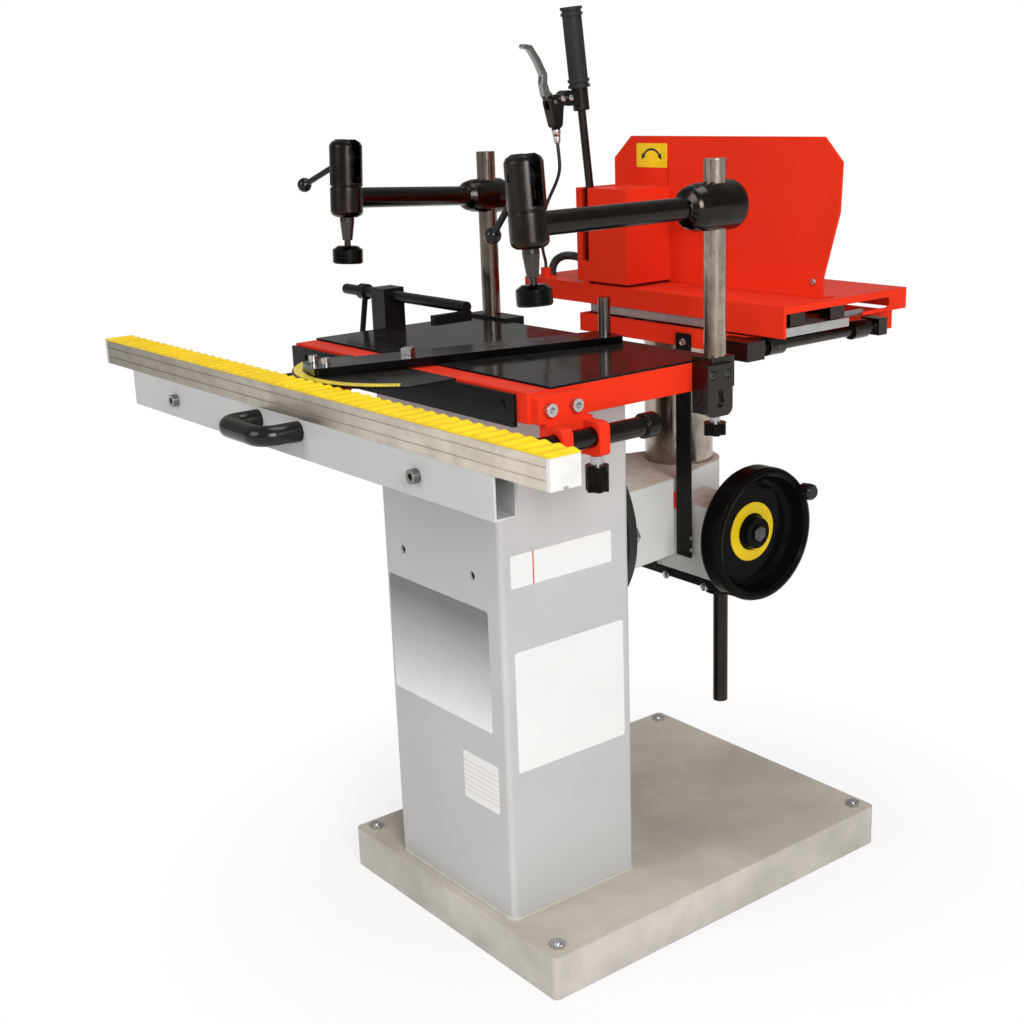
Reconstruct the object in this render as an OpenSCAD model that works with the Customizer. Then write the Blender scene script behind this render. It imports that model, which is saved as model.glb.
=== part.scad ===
// Horizontal slot mortiser on a column stand. All sizes are in millimetres.
// X runs along the extension rail, Y runs away from the operator, Z is up.
// The origin is the centre of the base pan's underside.

/* [Stand] */
// Width of the base pan
base_w = 500; // [440:10:640]
// Depth of the base pan
base_d = 660; // [600:10:800]
// Height of the base pan
base_h = 64; // [44:2:90]
// Sheet thickness of the base pan
base_sheet = 4; // [3:0.5:8]
// Width of the column
column_w = 280; // [240:5:340]
// Depth of the column
column_d = 226; // [200:2:260]
// Distance from the pan's front edge to the column
column_setback = 17; // [5:1:60]
// Sheet thickness of the column
column_sheet = 5; // [3:0.5:10]

/* [Table] */
// Height of the table top above the floor
table_z = 844; // [800:2:900]
// Width of the table
table_w = 542; // [480:2:600]
// Depth of the table
table_d = 312; // [290:2:340]
// Thickness of the table with its sheet
table_t = 40; // [30:1:60]
// Thickness of the black table sheet
sheet_t = 3; // [2:0.5:6]
// Width of the bare red margin in front of the sheet
sheet_margin = 35; // [20:1:60]
// Overhang of the table in front of the column
table_overhang = 47; // [20:1:80]

/* [Extension] */
// Length of the extension rail
rail_len = 1062; // [900:2:1300]
// Depth of the rail profile
rail_w = 40; // [30:1:60]
// Height of the rail profile
rail_h = 34; // [24:1:50]
// Height of the ribbed strip on the rail
strip_t = 4; // [3:0.5:8]
// Distance between the strip's ribs
rib_pitch = 22; // [12:1:40]
// Length of the tube under the rail
tube_len = 876; // [700:2:1000]
// Depth of the tube
tube_w = 30; // [24:1:50]
// Height of the tube
tube_h = 50; // [40:1:70]
// Gap between the table's front and the rail at rest
extension_gap = 139; // [100:1:180]
// Diameter of the guide rods
rod_d = 25; // [18:1:32]
// Free length of the guide rods behind the tube
rod_len = 322; // [280:2:360]
// Distance of the rods from the table's sides
rod_offset = 27; // [22:1:40]

/* [Fence and stop] */
// Length of the fence bar behind its pivot
fence_back = 300; // [240:2:320]
// Width of the fence bar
fence_w = 60; // [40:1:80]
// Thickness of the fence bar
fence_t = 10; // [6:1:16]
// Angle of the fence at rest, clockwise from straight back
fence_angle = 14.5; // [0:0.5:30]
// Outer radius of the angle scale
scale_r = 150; // [120:1:180]
// Length of the flip stop bar
stop_len = 322; // [240:2:400]
// Diameter of the flip stop bar
stop_d = 16; // [12:1:22]

/* [Clamps] */
// Diameter of the clamp posts
post_d = 28; // [22:1:36]
// Height of the posts above the table
post_h = 250; // [220:2:300]
// Height of the clamp arms above the table
arm_up = 193; // [180:1:215]
// Reach of the clamp arms from the post to the head
arm_reach = 294; // [240:2:320]
// Diameter of the clamp arms
arm_d = 28; // [24:1:40]
// Diameter of the clamp heads
head_d = 45; // [40:1:60]
// Inward swing of the left clamp at rest
left_swing = 12.2; // [0:0.2:20]
// Upward tilt of the left clamp arm at rest
left_rise = 3.6; // [0:0.2:6]
// Lean of the right clamp head at rest
right_lean = 4.6; // [0:0.2:8]
// Diameter of the clamp pads
pad_d = 42; // [30:1:60]
// Length of the cam levers
cam_len = 92; // [76:1:120]

/* [Lift] */
// Radius of the round flange on the column's back
flange_r = 142.5; // [130:0.5:160]
// Height of the flange centre above the floor
flange_z = 572; // [540:1:600]
// Diameter of the quill
quill_d = 104; // [90:1:112]
// Distance from the column's back to the quill's axis
quill_reach = 231; // [215:1:260]
// Diameter of the lift screw
screw_d = 22; // [16:1:26]
// Radius of the handwheel
wheel_r = 97; // [80:1:110]

/* [Slides] */
// Width of the red saddle
saddle_w = 344; // [320:2:380]
// Depth of the red saddle
saddle_d = 310; // [280:2:340]
// Height of the red saddle
saddle_h = 27; // [25:0.5:36]
// Diameter of the guide rods in both slides
slide_rod_d = 16; // [12:1:18]
// Thickness of the steel carriage plate
plate_t = 12; // [8:1:16]
// Depth of the steel carriage plate
plate_d = 140; // [130:2:160]

/* [Head] */
// Width of the red tray
tray_w = 546; // [520:2:600]
// Depth of the red tray
tray_d = 252; // [240:2:300]
// Height of the red tray
tray_h = 29; // [28:0.5:40]
// Sheet thickness of the tray
tray_sheet = 3; // [2:0.5:5]
// Height of the guard panel above the tray
panel_h = 212; // [180:2:240]
// Diameter of the motor
motor_d = 124; // [100:2:140]
// Length of the motor
motor_len = 128; // [110:2:140]
// Diameter of the chuck
chuck_d = 56; // [40:1:64]
// Diameter of the tool bore in the chuck
chuck_bore = 16; // [10:1:20]

/* [Control lever] */
// Forward lean of the lever at rest
lever_lean = 6.4; // [0:0.2:12]
// Length of the lever from its pivot
lever_len = 380; // [340:2:420]
// Diameter of the lever rod
lever_d = 12; // [10:0.5:15]
// Length of the rubber grip
grip_len = 112; // [90:2:130]

/* [Hidden] */
$fn = 64;

// Clearance between a shaft and its bore, on the radius
fit = 0.06;
// Gap between parts that pass without touching
gap = 0.5;
// Overshoot of cutting tools
cut = 1;
red = [0.86, 0.16, 0.1];
grey = [0.74, 0.75, 0.76];
black = [0.07, 0.07, 0.08];
steel = [0.62, 0.62, 0.63];
yellow = [0.95, 0.8, 0.1];

// Stand and table places
column_y0 = -base_d / 2 + column_setback;
column_y1 = column_y0 + column_d;
column_round = 8;
anchor_d = 12;
anchor_inset = 24;
anchor_head = 8;
table_x = table_w / 2;
table_y0 = column_y0 - table_overhang;
table_y1 = table_y0 + table_d;
table_z0 = table_z - table_t;
apron_t = 6;
apron_drop = 6;
apron_short = 22;
apron_z1 = table_z - sheet_t - 3;

// Extension places
rail_y1 = table_y0 - extension_gap;
rail_y0 = rail_y1 - rail_w;
rail_z1 = table_z - strip_t;
rail_z0 = rail_z1 - rail_h;
rail_wall = 3;
rail_cap = 6;
tube_z0 = rail_z0 - tube_h;
tube_y1 = rail_y0 + tube_w;
rod_x = table_x + rod_offset;
rod_z = tube_z0 + tube_h / 2;
rod_end = tube_y1 + rod_len;
rod_bolt_d = 10;
rod_cap = 7;
bracket_y0 = table_y0 + 16;
bracket_y1 = bracket_y0 + 73;
bracket_drop = 23;
bracket_plate = 12;
ear_t = 16;
ear_reach = rod_offset + 16;
ear_round = 8;
lock_y = bracket_y1 - ear_t / 2;
lock_d = 10;
handle_x = -9;
handle_span = 102;
handle_reach = 50;
handle_d = 26;

// Fence, scale and stop places
pivot_y = table_y0 + 15;
pivot_bolt_d = 10;
fence_front = scale_r;
fence_left = 26;
pin_d = 17;
pin_h = 50;
pin_back = 12;
sector_half = 127;
sector_t = 3;
scale_band = 12;
scale_t = 1.5;
stop_side = 36;
stop_y = table_y0 + 174;
stop_z = table_z + 46;
stop_x1 = -table_x + 186;
stop_post_top = stop_z + 12;
stop_post_z0 = rod_z + (rod_d + rod_cap) / 2 + 3;

// Clamp places
post_right = [table_x + 21, table_y1 - 25];
post_left = [-table_x + 35, table_y1 + 18];
left_drop = 8;
bracket_side = 50;
post_top = table_z + post_h;
arm_z = table_z + arm_up;
collar_r = 31;
left_collar_r = 26;
collar_half = 33;
head_top = 78;
head_bottom = -26;
slot_floor = 20;
slot_w = 16;
cam_z = 52;
cam_r = 14;
cam_e = 4;
cam_down = 42;
cam_pin_d = 8;
plunger_d = 20;
plunger_top = cam_z - cam_r - gap;
plunger_bottom = -58;
pad_top = -66;
pad_bottom = -90;
right_cam_angle = cam_down;
left_cam_angle = 23;
lever_floor = cam_z - 34;
button_d = 8;
button_z = cam_z - 24;

// Lift places
flange_t = 13;
arm_y0 = column_y1 + flange_t;
quill_y = column_y1 + quill_reach;
boss_wall = 10;
casting_z0 = flange_z - 60;
casting_z1 = flange_z + 56;
arm_half = 104;
casting_wall = 14;
neck_half = 88;
neck_y = quill_y - 84;
gear_x0 = 80;
gear_x1 = 177;
gear_y = quill_y - 54;
gear_half = 41;
gear_z0 = flange_z - 84;
gear_z1 = flange_z + 24;
gear_wall = 9;
cover_t = 9;
shaft_z = flange_z - 9;
shaft_d = 20;
screw_x = 143;
screw_z0 = flange_z - 287;
bevel_r = 22;
bevel_small = 14;
bevel_gap = 0.8;
wheel_x = gear_x1 + cover_t + 10;
wheel_depth = 36;
knob_turn = 36;
knob_r = wheel_r - 7;
quill_z0 = gear_z0 - 8;
nut_plate_t = 12;

// Slide places
saddle_x0 = -112;
saddle_x1 = saddle_x0 + saddle_w;
saddle_y0 = quill_y - 99;
saddle_y1 = saddle_y0 + saddle_d;
saddle_z0 = table_z - 18;
saddle_z1 = saddle_z0 + saddle_h;
saddle_wall = 6;
depth_rod_x = [saddle_x0 + 50, saddle_x1 - 50];
depth_rod_z = saddle_z0 + saddle_wall + 11;
plate_x0 = saddle_x0 + 19;
plate_x1 = saddle_x1 + 61;
plate_z0 = saddle_z1 + 3;
plate_z1 = plate_z0 + plate_t;
bearing_l = 28;
bearing_half = 17;
depth_bearing_y = [saddle_y0 + 67, saddle_y0 + 107];
side_rod_y = [saddle_y0 + 30, saddle_y0 + 110];
side_bearing_l = 40;
stop_rod_x = saddle_x1 + 20;
stop_rod_z = saddle_z0 + 13;
stop_rod_d = 16;
stop_block_y0 = saddle_y0 - 33;
collar_l = 30;
collar_d = stop_rod_d + 10;
front_collar_y = saddle_y0 + 17;
rear_collar_y = saddle_y0 + 192;
stop_rod_y1 = saddle_y1 - 52;

// Tray and head places
tray_x0 = plate_x0 - 152;
tray_x1 = tray_x0 + tray_w;
side_bearing_x = [plate_x0 + 93, tray_x1 - 141];
lip_w = 112;
lip_t = 5;
tray_y0 = saddle_y0;
tray_y1 = tray_y0 + tray_d;
tray_z0 = plate_z1 + 1;
tray_z1 = tray_z0 + tray_h;
side_rod_z = plate_z1 + 13;
hanger_l = 20;
hanger_half = 14;
panel_y = tray_y0 + 90;
panel_t = 3;
panel_x0 = tray_x0 + 117;
panel_x1 = tray_x1 + 16;
panel_z1 = tray_z1 + panel_h;
spindle_x = (panel_x0 + panel_x1) / 2 - 22;
spindle_z = tray_z1 + 114;
box_x0 = tray_x0 + 128;
box_x1 = box_x0 + 111;
box_y0 = tray_y0 + 2;
box_z0 = tray_z1 + 4;
box_z1 = tray_z1 + 141;
box_sheet = 2;
bracket_y = panel_y + panel_t + 2;
motor_plate = 8;
motor_y0 = bracket_y + motor_plate;
chuck_y0 = panel_y - 40;
chuck_len = 34;
spindle_d = 20;

// Control lever places, measured from its pivot
pivot = [box_x0 + 19, tray_y0 + 27, tray_z1 + 18];
pivot_d = 12;
lever_slot = 15;
lug_t = 6;
hub_half = 8;
hub_r = 13;
grip_z0 = lever_len - grip_len;
grip_r = 14;
mount_z0 = grip_z0 - 32;
brake_z = grip_z0 - 16;
blade_y = -54;
blade_z = brake_z + 3;
blade_w = 9;
barrel_z0 = brake_z - 55;
barrel_z1 = brake_z - 33;
barrel_y = -52;

// Route of the brake cable from the barrel to its gland on the tray, measured from the lever's pivot
cable_d = 5;
gland_h = 14;
cable_tip = [0, barrel_y * cos(lever_lean) - barrel_z0 * sin(lever_lean),
    barrel_y * sin(lever_lean) + barrel_z0 * cos(lever_lean)];
cable_way = [0, sin(lever_lean), -cos(lever_lean)];
cable_end = [-117, -8, tray_z1 + gland_h - pivot[2]];
cable_shares = [[0.03, 0.09, 0.20], [0.16, 0.16, 0.30], [0.36, 0.25, 0.41], [0.60, 0.42, 0.54],
    [0.82, 0.64, 0.71], [0.95, 0.84, 0.85], [1, 1, 0.95]];
cable_route = concat([cable_tip + 0.3 * cable_way, cable_tip + 20 * cable_way],
    [for (f = cable_shares) [for (i = [0:2]) cable_tip[i] + f[i] * (cable_end[i] - cable_tip[i])]],
    [cable_end + [0, 0, 0.2]]);
// Route of the conduit over the tray, measured from the lever's pivot
conduit_d = 13;
conduit_side = box_x0 - pivot[0];
conduit_foot = tray_z1 - pivot[2];
conduit_route = [[-132, 18, conduit_foot + 0.2], [-132, 18, -8], [-123, 18, 4], [-105, 18, 12],
    [-82, 18, 14],
    [-55, 18, 11], [-35, 18, 4], [conduit_side - 0.2, 18, 4]];

// Shared shapes
module span(x0, x1, y0, y1, z0, z1) {
    translate([x0, y0, z0])
        cube([x1 - x0, y1 - y0, z1 - z0]);
}

module round_span(x0, x1, y0, y1, z0, z1, r) {
    span(x0 + r, x1 - r, y0, y1, z0, z1);
    span(x0, x1, y0 + r, y1 - r, z0, z1);
    for (x = [x0 + r, x1 - r], y = [y0 + r, y1 - r])
        upright(x, y, z0, z1, 2 * r);
}

module upright(x, y, z0, z1, d) {
    translate([x, y, z0])
        cylinder(h = z1 - z0, d = d);
}

module along_x(x0, x1, y, z, d) {
    translate([x0, y, z])
        rotate([0, 90, 0])
            cylinder(h = x1 - x0, d = d);
}

module along_y(x, y0, y1, z, d) {
    translate([x, y0, z])
        rotate([-90, 0, 0])
            cylinder(h = y1 - y0, d = d);
}

// Tube swept along a list of points, with a ring of sides round each point
function unit(v) = v / norm(v);
function heading(p, i) = unit(p[min(i + 1, len(p) - 1)] - p[max(i - 1, 0)]);
function ring(p, i, r, sides) =
    let (t = heading(p, i), u = unit(cross(t, [0.2, 1, 0.1])), v = cross(t, u))
    [for (k = [0:sides - 1]) p[i] + r * (cos(360 * k / sides) * u + sin(360 * k / sides) * v)];

module swept(p, radii, sides) {
    rings = len(p);
    points = [for (i = [0:rings - 1]) each ring(p, i, radii[i], sides)];
    walls = [for (i = [0:rings - 2], k = [0:sides - 1], half = [0, 1])
        let (a = i * sides + k, b = i * sides + (k + 1) % sides)
        half == 0 ? [a, b, b + sides] : [a, b + sides, a + sides]];
    caps = [for (k = [1:sides - 2], end = [0, 1])
        end == 0 ? [0, k + 1, k] : let (s = (rings - 1) * sides) [s, s + k, s + k + 1]];
    polyhedron(points, concat(walls, caps));
}

function between(p, f) = let (i = min(floor(f), len(p) - 2), s = f - i) p[i] * (1 - s) + p[i + 1] * s;

// Stand
module base_pan() {
    color(grey)
        difference() {
            round_span(-base_w / 2, base_w / 2, -base_d / 2, base_d / 2, 0, base_h, column_round);
            span(-base_w / 2 + base_sheet, base_w / 2 - base_sheet, -base_d / 2 + base_sheet,
                base_d / 2 - base_sheet, -cut, base_h - base_sheet);
            for (x = [-1, 1], y = [-1, 1])
                upright(x * (base_w / 2 - anchor_inset), y * (base_d / 2 - anchor_inset), 0, base_h + cut,
                    anchor_d + 2 * fit);
        }
}

module anchor_bolts() {
    color(steel)
        for (x = [-1, 1], y = [-1, 1]) {
            px = x * (base_w / 2 - anchor_inset);
            py = y * (base_d / 2 - anchor_inset);
            upright(px, py, base_h / 4, base_h + anchor_head, anchor_d);
            translate([px, py, base_h])
                cylinder(h = anchor_head * 0.75, d = anchor_d * 1.8, $fn = 6);
        }
}

module column() {
    hole_x = [-90, 76];
    hole_z = table_z - 285;
    hole_d = 12;
    color(grey)
        difference() {
            round_span(-column_w / 2, column_w / 2, column_y0, column_y1, base_h, table_z0, column_round);
            span(-column_w / 2 + column_sheet, column_w / 2 - column_sheet, column_y0 + column_sheet,
                column_y1 - column_sheet, base_h + column_sheet, table_z0 - column_sheet);
            for (x = hole_x)
                along_y(x, column_y0 - cut, column_y0 + column_sheet + cut, hole_z, hole_d);
        }
}

module table_body() {
    edge = 3;
    wall = 6;
    color(red)
        difference() {
            union() {
                difference() {
                    round_span(-table_x, table_x, table_y0, table_y1, table_z0, table_z - sheet_t, edge);
                    span(-table_x + wall, table_x - wall, table_y0 + wall, table_y1 - wall,
                        table_z0 + wall,
                        table_z - sheet_t - wall);
                }
                upright(0, pivot_y + 6, table_z0 + wall / 2, table_z - sheet_t - wall / 2, 28);
            }
            upright(0, pivot_y, table_z - table_t / 2, table_z, pivot_bolt_d + 2 * fit);
        }
}

module table_sheet() {
    color(black)
        span(-table_x, table_x, table_y0 + sheet_margin, table_y1, table_z - sheet_t, table_z);
}

module front_apron() {
    bolt_x = table_x - 40;
    color(black)
        difference() {
            union() {
                span(-table_x, table_x - apron_short, table_y0 - apron_t, table_y0, table_z0 - apron_drop,
                    apron_z1);
                translate([0, 0, apron_z1])
                    linear_extrude(sector_t)
                        intersection() {
                            translate([0, pivot_y])
                                circle(r = scale_r + 2, $fn = 120);
                            translate([-sector_half, pivot_y - scale_r - 4])
                                square([2 * sector_half, table_y0 - pivot_y + scale_r + 4]);
                        }
            }
            for (x = [-bolt_x, bolt_x])
                along_y(x, table_y0 - apron_t - cut, table_y0 - apron_t / 2, table_z - table_t / 2, 12);
        }
}

module angle_scale() {
    color(yellow)
        translate([0, pivot_y, apron_z1 + sector_t])
            rotate([0, 0, 218])
                rotate_extrude(angle = 104, $fn = 120)
                    translate([scale_r - scale_band, 0])
                        square([scale_band, scale_t]);
}

// Extension
module rail_profile() {
    groove = 1.5;
    x = rail_len / 2 - rail_cap;
    color([0.72, 0.72, 0.7])
        difference() {
            span(-x, x, rail_y0, rail_y1, rail_z0, rail_z1);
            span(-x - cut, x + cut, rail_y0 + rail_wall, rail_y1 - rail_wall, rail_z0 + rail_wall,
                rail_z1 - rail_wall);
            for (z = [rail_z0 + rail_h * 0.3, rail_z0 + rail_h * 0.7])
                span(-x - cut, x + cut, rail_y0 - cut, rail_y0 + groove / 2, z, z + groove);
        }
}

module rail_end_caps() {
    notch = 6;
    color([0.85, 0.85, 0.85])
        for (side = [0, 1])
            mirror([side, 0, 0])
                difference() {
                    span(rail_len / 2 - rail_cap, rail_len / 2, rail_y0, rail_y1, rail_z0, rail_z1);
                    span(rail_len / 2 - rail_cap - cut, rail_len / 2 + cut,
                        rail_y0 + rail_w / 2 - notch / 2,
                        rail_y0 + rail_w / 2 + notch / 2, rail_z0 - cut, rail_z0 + notch / 2);
                }
}

module ribbed_strip() {
    ribs = floor(rail_len / rib_pitch);
    web = strip_t * 0.4;
    steps = 6;
    wave = [for (i = [0:ribs * steps])
        [-rail_len / 2 + rail_len * i / (ribs * steps),
            web + (strip_t - web) * (1 - cos(360 * i / steps)) / 2]];
    color(yellow)
        translate([0, rail_y1, rail_z1])
            rotate([90, 0, 0])
                linear_extrude(rail_w)
                    polygon(concat([[rail_len / 2, 0], [-rail_len / 2, 0]], wave));
}

module rail_tube() {
    wall = 3;
    color(grey)
        difference() {
            span(-tube_len / 2, tube_len / 2, rail_y0, tube_y1, tube_z0, rail_z0);
            span(-tube_len / 2 - cut, tube_len / 2 + cut, rail_y0 + wall, tube_y1 - wall, tube_z0 + wall,
                rail_z0 - wall);
            for (x = [-rod_x, rod_x])
                along_y(x, rail_y0 - cut, tube_y1 + cut, rod_z, rod_bolt_d + 2 * fit);
        }
}

module bow_handle() {
    half = handle_span / 2;
    bend = 22;
    leg = handle_reach - bend;
    color(black)
        translate([handle_x, rail_y0, rod_z + 9]) {
            for (x = [-half, half])
                along_y(x, -leg, 0, 0, handle_d);
            along_x(bend - half, half - bend, -handle_reach, 0, handle_d);
            for (side = [0, 1])
                translate([side == 0 ? bend - half : half - bend, -leg, 0])
                    rotate([0, 0, 180 + 90 * side])
                        rotate_extrude(angle = 90)
                            translate([bend, 0])
                                circle(d = handle_d);
        }
}

module guide_rods() {
    cap = 18;
    color(black)
        for (x = [-rod_x, rod_x])
            difference() {
                union() {
                    along_y(x, tube_y1, rod_end, rod_z, rod_d);
                    along_y(x, rod_end - cap, rod_end, rod_z, rod_d + rod_cap);
                }
                along_y(x, tube_y1 - cut, tube_y1 + 28, rod_z, rod_bolt_d + 2 * fit);
            }
}

module tube_bolts() {
    head = 9;
    color(steel)
        for (x = [-rod_x, rod_x])
            difference() {
                union() {
                    along_y(x, rail_y0 - head, rail_y0, rod_z, rod_bolt_d * 1.7);
                    along_y(x, rail_y0 - head / 2, tube_y1 + 26, rod_z, rod_bolt_d);
                }
                translate([x, rail_y0 - head - cut, rod_z])
                    rotate([-90, 0, 0])
                        cylinder(h = head / 2 + cut, d = rod_bolt_d * 0.9, $fn = 6);
            }
}

module rod_bracket() {
    wing = 11;
    hole_z = table_z0 + 17;
    z0 = rod_z - bracket_drop;
    z1 = table_z0 - 4;
    x1 = table_x + ear_reach;
    r = ear_round;
    color(red)
        difference() {
            union() {
                for (y = [bracket_y0, bracket_y1 - ear_t]) {
                    span(table_x, x1 - r, y, y + ear_t, z0, z1);
                    span(table_x, x1, y, y + ear_t, z0 + r, z1 - r);
                    for (z = [z0 + r, z1 - r])
                        along_y(x1 - r, y, y + ear_t, z, 2 * r);
                }
                span(table_x, table_x + bracket_plate, bracket_y0, bracket_y1, z0, table_z0);
                span(table_x, table_x + bracket_plate, bracket_y0 - wing, bracket_y1 - wing, table_z0,
                    table_z0 + 26);
                span(table_x, table_x + bracket_plate, bracket_y0 - wing + r,
                    bracket_y1 - wing - r, table_z0,
                    table_z0 + 34);
                for (y = [bracket_y0 - wing + r, bracket_y1 - wing - r])
                    along_x(table_x, table_x + bracket_plate, y, table_z0 + 34 - r, 2 * r);
            }
            along_y(rod_x, bracket_y0 - cut, bracket_y1 + cut, rod_z, rod_d + 2 * fit);
            upright(rod_x, lock_y, rod_z - bracket_drop - cut, rod_z, lock_d + 2 * gap);
            for (y = [bracket_y0 + 4, bracket_y0 + 44])
                along_x(table_x - cut, table_x + bracket_plate + cut, y, hole_z, 10 + 2 * fit);
        }
}

module rod_brackets() {
    rod_bracket();
    mirror([1, 0, 0])
        rod_bracket();
}

module bracket_bolts() {
    head = 9;
    x = table_x + bracket_plate;
    color(steel)
        for (side = [0, 1], y = [bracket_y0 + 4, bracket_y0 + 44])
            mirror([side, 0, 0])
                difference() {
                    union() {
                        along_x(x, x + head, y, table_z0 + 17, 16);
                        along_x(table_x, x + head / 2, y, table_z0 + 17, 10);
                    }
                    translate([x + head / 2, y, table_z0 + 17])
                        rotate([0, 90, 0])
                            cylinder(h = head, d = 8, $fn = 6);
                }
}

module rod_lock(side) {
    z1 = rod_z - bracket_drop - gap;
    collar = 12;
    knob = 32;
    flutes = 6;
    color(black)
        difference() {
            union() {
                upright(side * rod_x, lock_y, z1 - collar - knob, z1 - collar, 29);
                upright(side * rod_x, lock_y, z1 - collar, z1, 16);
                upright(side * rod_x, lock_y, z1 - collar, rod_z - rod_d / 2 - gap, lock_d);
            }
            for (k = [0:flutes - 1])
                translate([side * rod_x, lock_y, 0])
                    rotate([0, 0, 360 * k / flutes])
                        upright(18, 0, z1 - collar - knob - cut, z1 - collar - 6, 13);
        }
}

module rod_lock_right() {
    rod_lock(1);
}

module rod_lock_left() {
    rod_lock(-1);
}

// Fence and stop
module fence_place() {
    translate([0, pivot_y, table_z])
        rotate([0, 0, -fence_angle])
            children();
}

module fence_bar() {
    shim = 0.2;
    tip = 14;
    pin_y = fence_back - pin_back;
    color(black)
        fence_place()
            difference() {
                union() {
                    round_span(-fence_left, fence_w - fence_left, -fence_front + tip, fence_back, shim,
                        shim + fence_t, 4);
                    upright(0, pin_y, shim, shim + fence_t + pin_h, pin_d);
                }
                upright(0, 0, -cut, fence_t + shim + cut, pivot_bolt_d + 2 * fit);
            }
}

module fence_bolts() {
    shim = 0.2;
    head = 9;
    top = shim + fence_t;
    color(steel)
        fence_place() {
            upright(0, 0, -table_t / 2 + gap, top + head, pivot_bolt_d);
            translate([0, 0, top])
                cylinder(h = head, d = 20, $fn = 4);
            for (p = [[-14, -fence_front + 26], [14, -fence_front + 34]])
                upright(p[0], p[1], top, top + head, 12);
        }
}

module stop_post() {
    x1 = -table_x;
    color(black)
        difference() {
            span(x1 - stop_side, x1, stop_y - stop_side / 2, stop_y + stop_side / 2, stop_post_z0,
                stop_post_top);
            along_x(x1 - stop_side - cut, x1 + cut, stop_y, stop_z, stop_d + 2 * fit);
        }
}

module flip_stop() {
    x0 = stop_x1 - stop_len;
    handle_x1 = -table_x - stop_side - 46;
    handle_len = 62;
    foot = [10, 56, 12];
    color(black) {
        along_x(x0, stop_x1, stop_y, stop_z, stop_d);
        along_x(handle_x1 - 8, handle_x1 + 8, stop_y, stop_z, stop_d + 8);
        translate([handle_x1, stop_y, stop_z - stop_d / 2])
            rotate([0, 14, 0])
                translate([0, 0, -handle_len])
                    cylinder(h = handle_len, d = 9);
        span(stop_x1 - foot[0], stop_x1, stop_y - foot[1], stop_y + stop_d / 2,
            stop_z - foot[2] - stop_d / 2,
            stop_z - stop_d / 2 + 2);
    }
}

// Clamps
module post_bracket_right() {
    x = post_right[0];
    y = post_right[1];
    z0 = table_z0 - 28;
    z1 = table_z - 1;
    x0 = x + post_d / 2;
    x1 = x0 + 8;
    ya = y - 34;
    yb = y + 10;
    seat = table_z - 34;
    corner = 11;
    color([0.2, 0.19, 0.18])
        difference() {
            union() {
                span(table_x, x0 + cut, y - 20, y + 20, seat, table_z + 6);
                span(table_x, x0 + cut, y - 20, y + 8, z0, seat + cut);
                span(x0, x1, ya, yb, z0 + corner, z1);
                span(x0, x1, ya + corner, yb - corner, z0, z0 + corner + cut);
                for (side = [ya + corner, yb - corner])
                    along_x(x0, x1, side, z0 + corner, 2 * corner);
            }
            upright(x, y, z0 + 14, table_z + 6 + cut, post_d + 2 * fit);
            upright(x, y, z0 - cut, z0 + 14 + cut, 12 + 2 * gap);
            for (side = [ya + 9, yb - 9]) {
                along_x(x1 - 5, x1 + cut, side, z1 - 13, 12);
                along_x(x0 - cut, x1 + cut, side, z1 - 13, 6);
            }
            along_x(x1 - 4, x1 + cut, (ya + yb) / 2, z0 + 19, 14);
            span(x1 - 4, x1 + cut, (ya + yb) / 2 - 4.5, (ya + yb) / 2 + 4.5, z0 + 19, z0 + 34);
        }
}

module post_bracket_left() {
    x = post_left[0];
    y = post_left[1];
    color(black)
        difference() {
            span(x - 40, x + 58, table_y1, table_y1 + 36, table_z0 - 4, table_z + 4);
            upright(x, y, table_z0 - 4 + 10, table_z + 4 + cut, post_d + 2 * fit);
        }
}

module clamp_posts() {
    color(steel) {
        upright(post_right[0], post_right[1], table_z0 - 14, post_top, post_d);
        upright(post_left[0], post_left[1], table_z0 + 6, post_top, post_d);
    }
}

module star_knob() {
    x = post_right[0];
    y = post_right[1];
    z1 = table_z0 - 28 - gap;
    lobes = 5;
    color(black)
        difference() {
            union() {
                upright(x, y, z1 - 28, z1 - 12, 29);
                upright(x, y, z1 - 12, z1, 14);
                upright(x, y, z1 - 10, table_z0 - 14 - gap, 12);
            }
            for (k = [0:lobes - 1])
                translate([x, y, 0])
                    rotate([0, 0, 360 * k / lobes])
                        upright(17, 0, z1 - 28 - cut, z1 - 14, 12);
        }
}

// Clamp arm with its collar round the post and its head, the post's axis at the origin
module clamp_arm_body(hub_r) {
    bolt = 10;
    dome = 9;
    low = 7;
    groove_z = 13;
    r = head_d / 2;
    translate([0, collar_half, 0])
        rotate([90, 0, 0])
            rotate_extrude()
                polygon([[0, 0], [hub_r - 8, 0], [hub_r - 2.5, 2.5], [hub_r, 8], [hub_r, collar_half],
                    [hub_r - 2, 2 * collar_half], [hub_r - 5, 2 * collar_half + 12],
                    [hub_r - 8, 2 * collar_half + 16], [arm_d / 2, 2 * collar_half + 20],
                    [arm_d / 2, collar_half + arm_reach], [0, collar_half + arm_reach]]);
    along_y(0, collar_half, collar_half + bolt, 0, 16);
    translate([0, -arm_reach, 0])
        rotate_extrude()
            polygon([[0, head_bottom], [r - low, head_bottom], [r - 2, head_bottom + 3], [r,
                head_bottom + low],
                [r, groove_z], [r - 1.5, groove_z + 1], [r - 1.5, groove_z + 2.5], [r, groove_z + 3.5],
                [r, head_top - dome], [r - 2.5, head_top - 4], [r - dome, head_top], [0, head_top]]);
}

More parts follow.
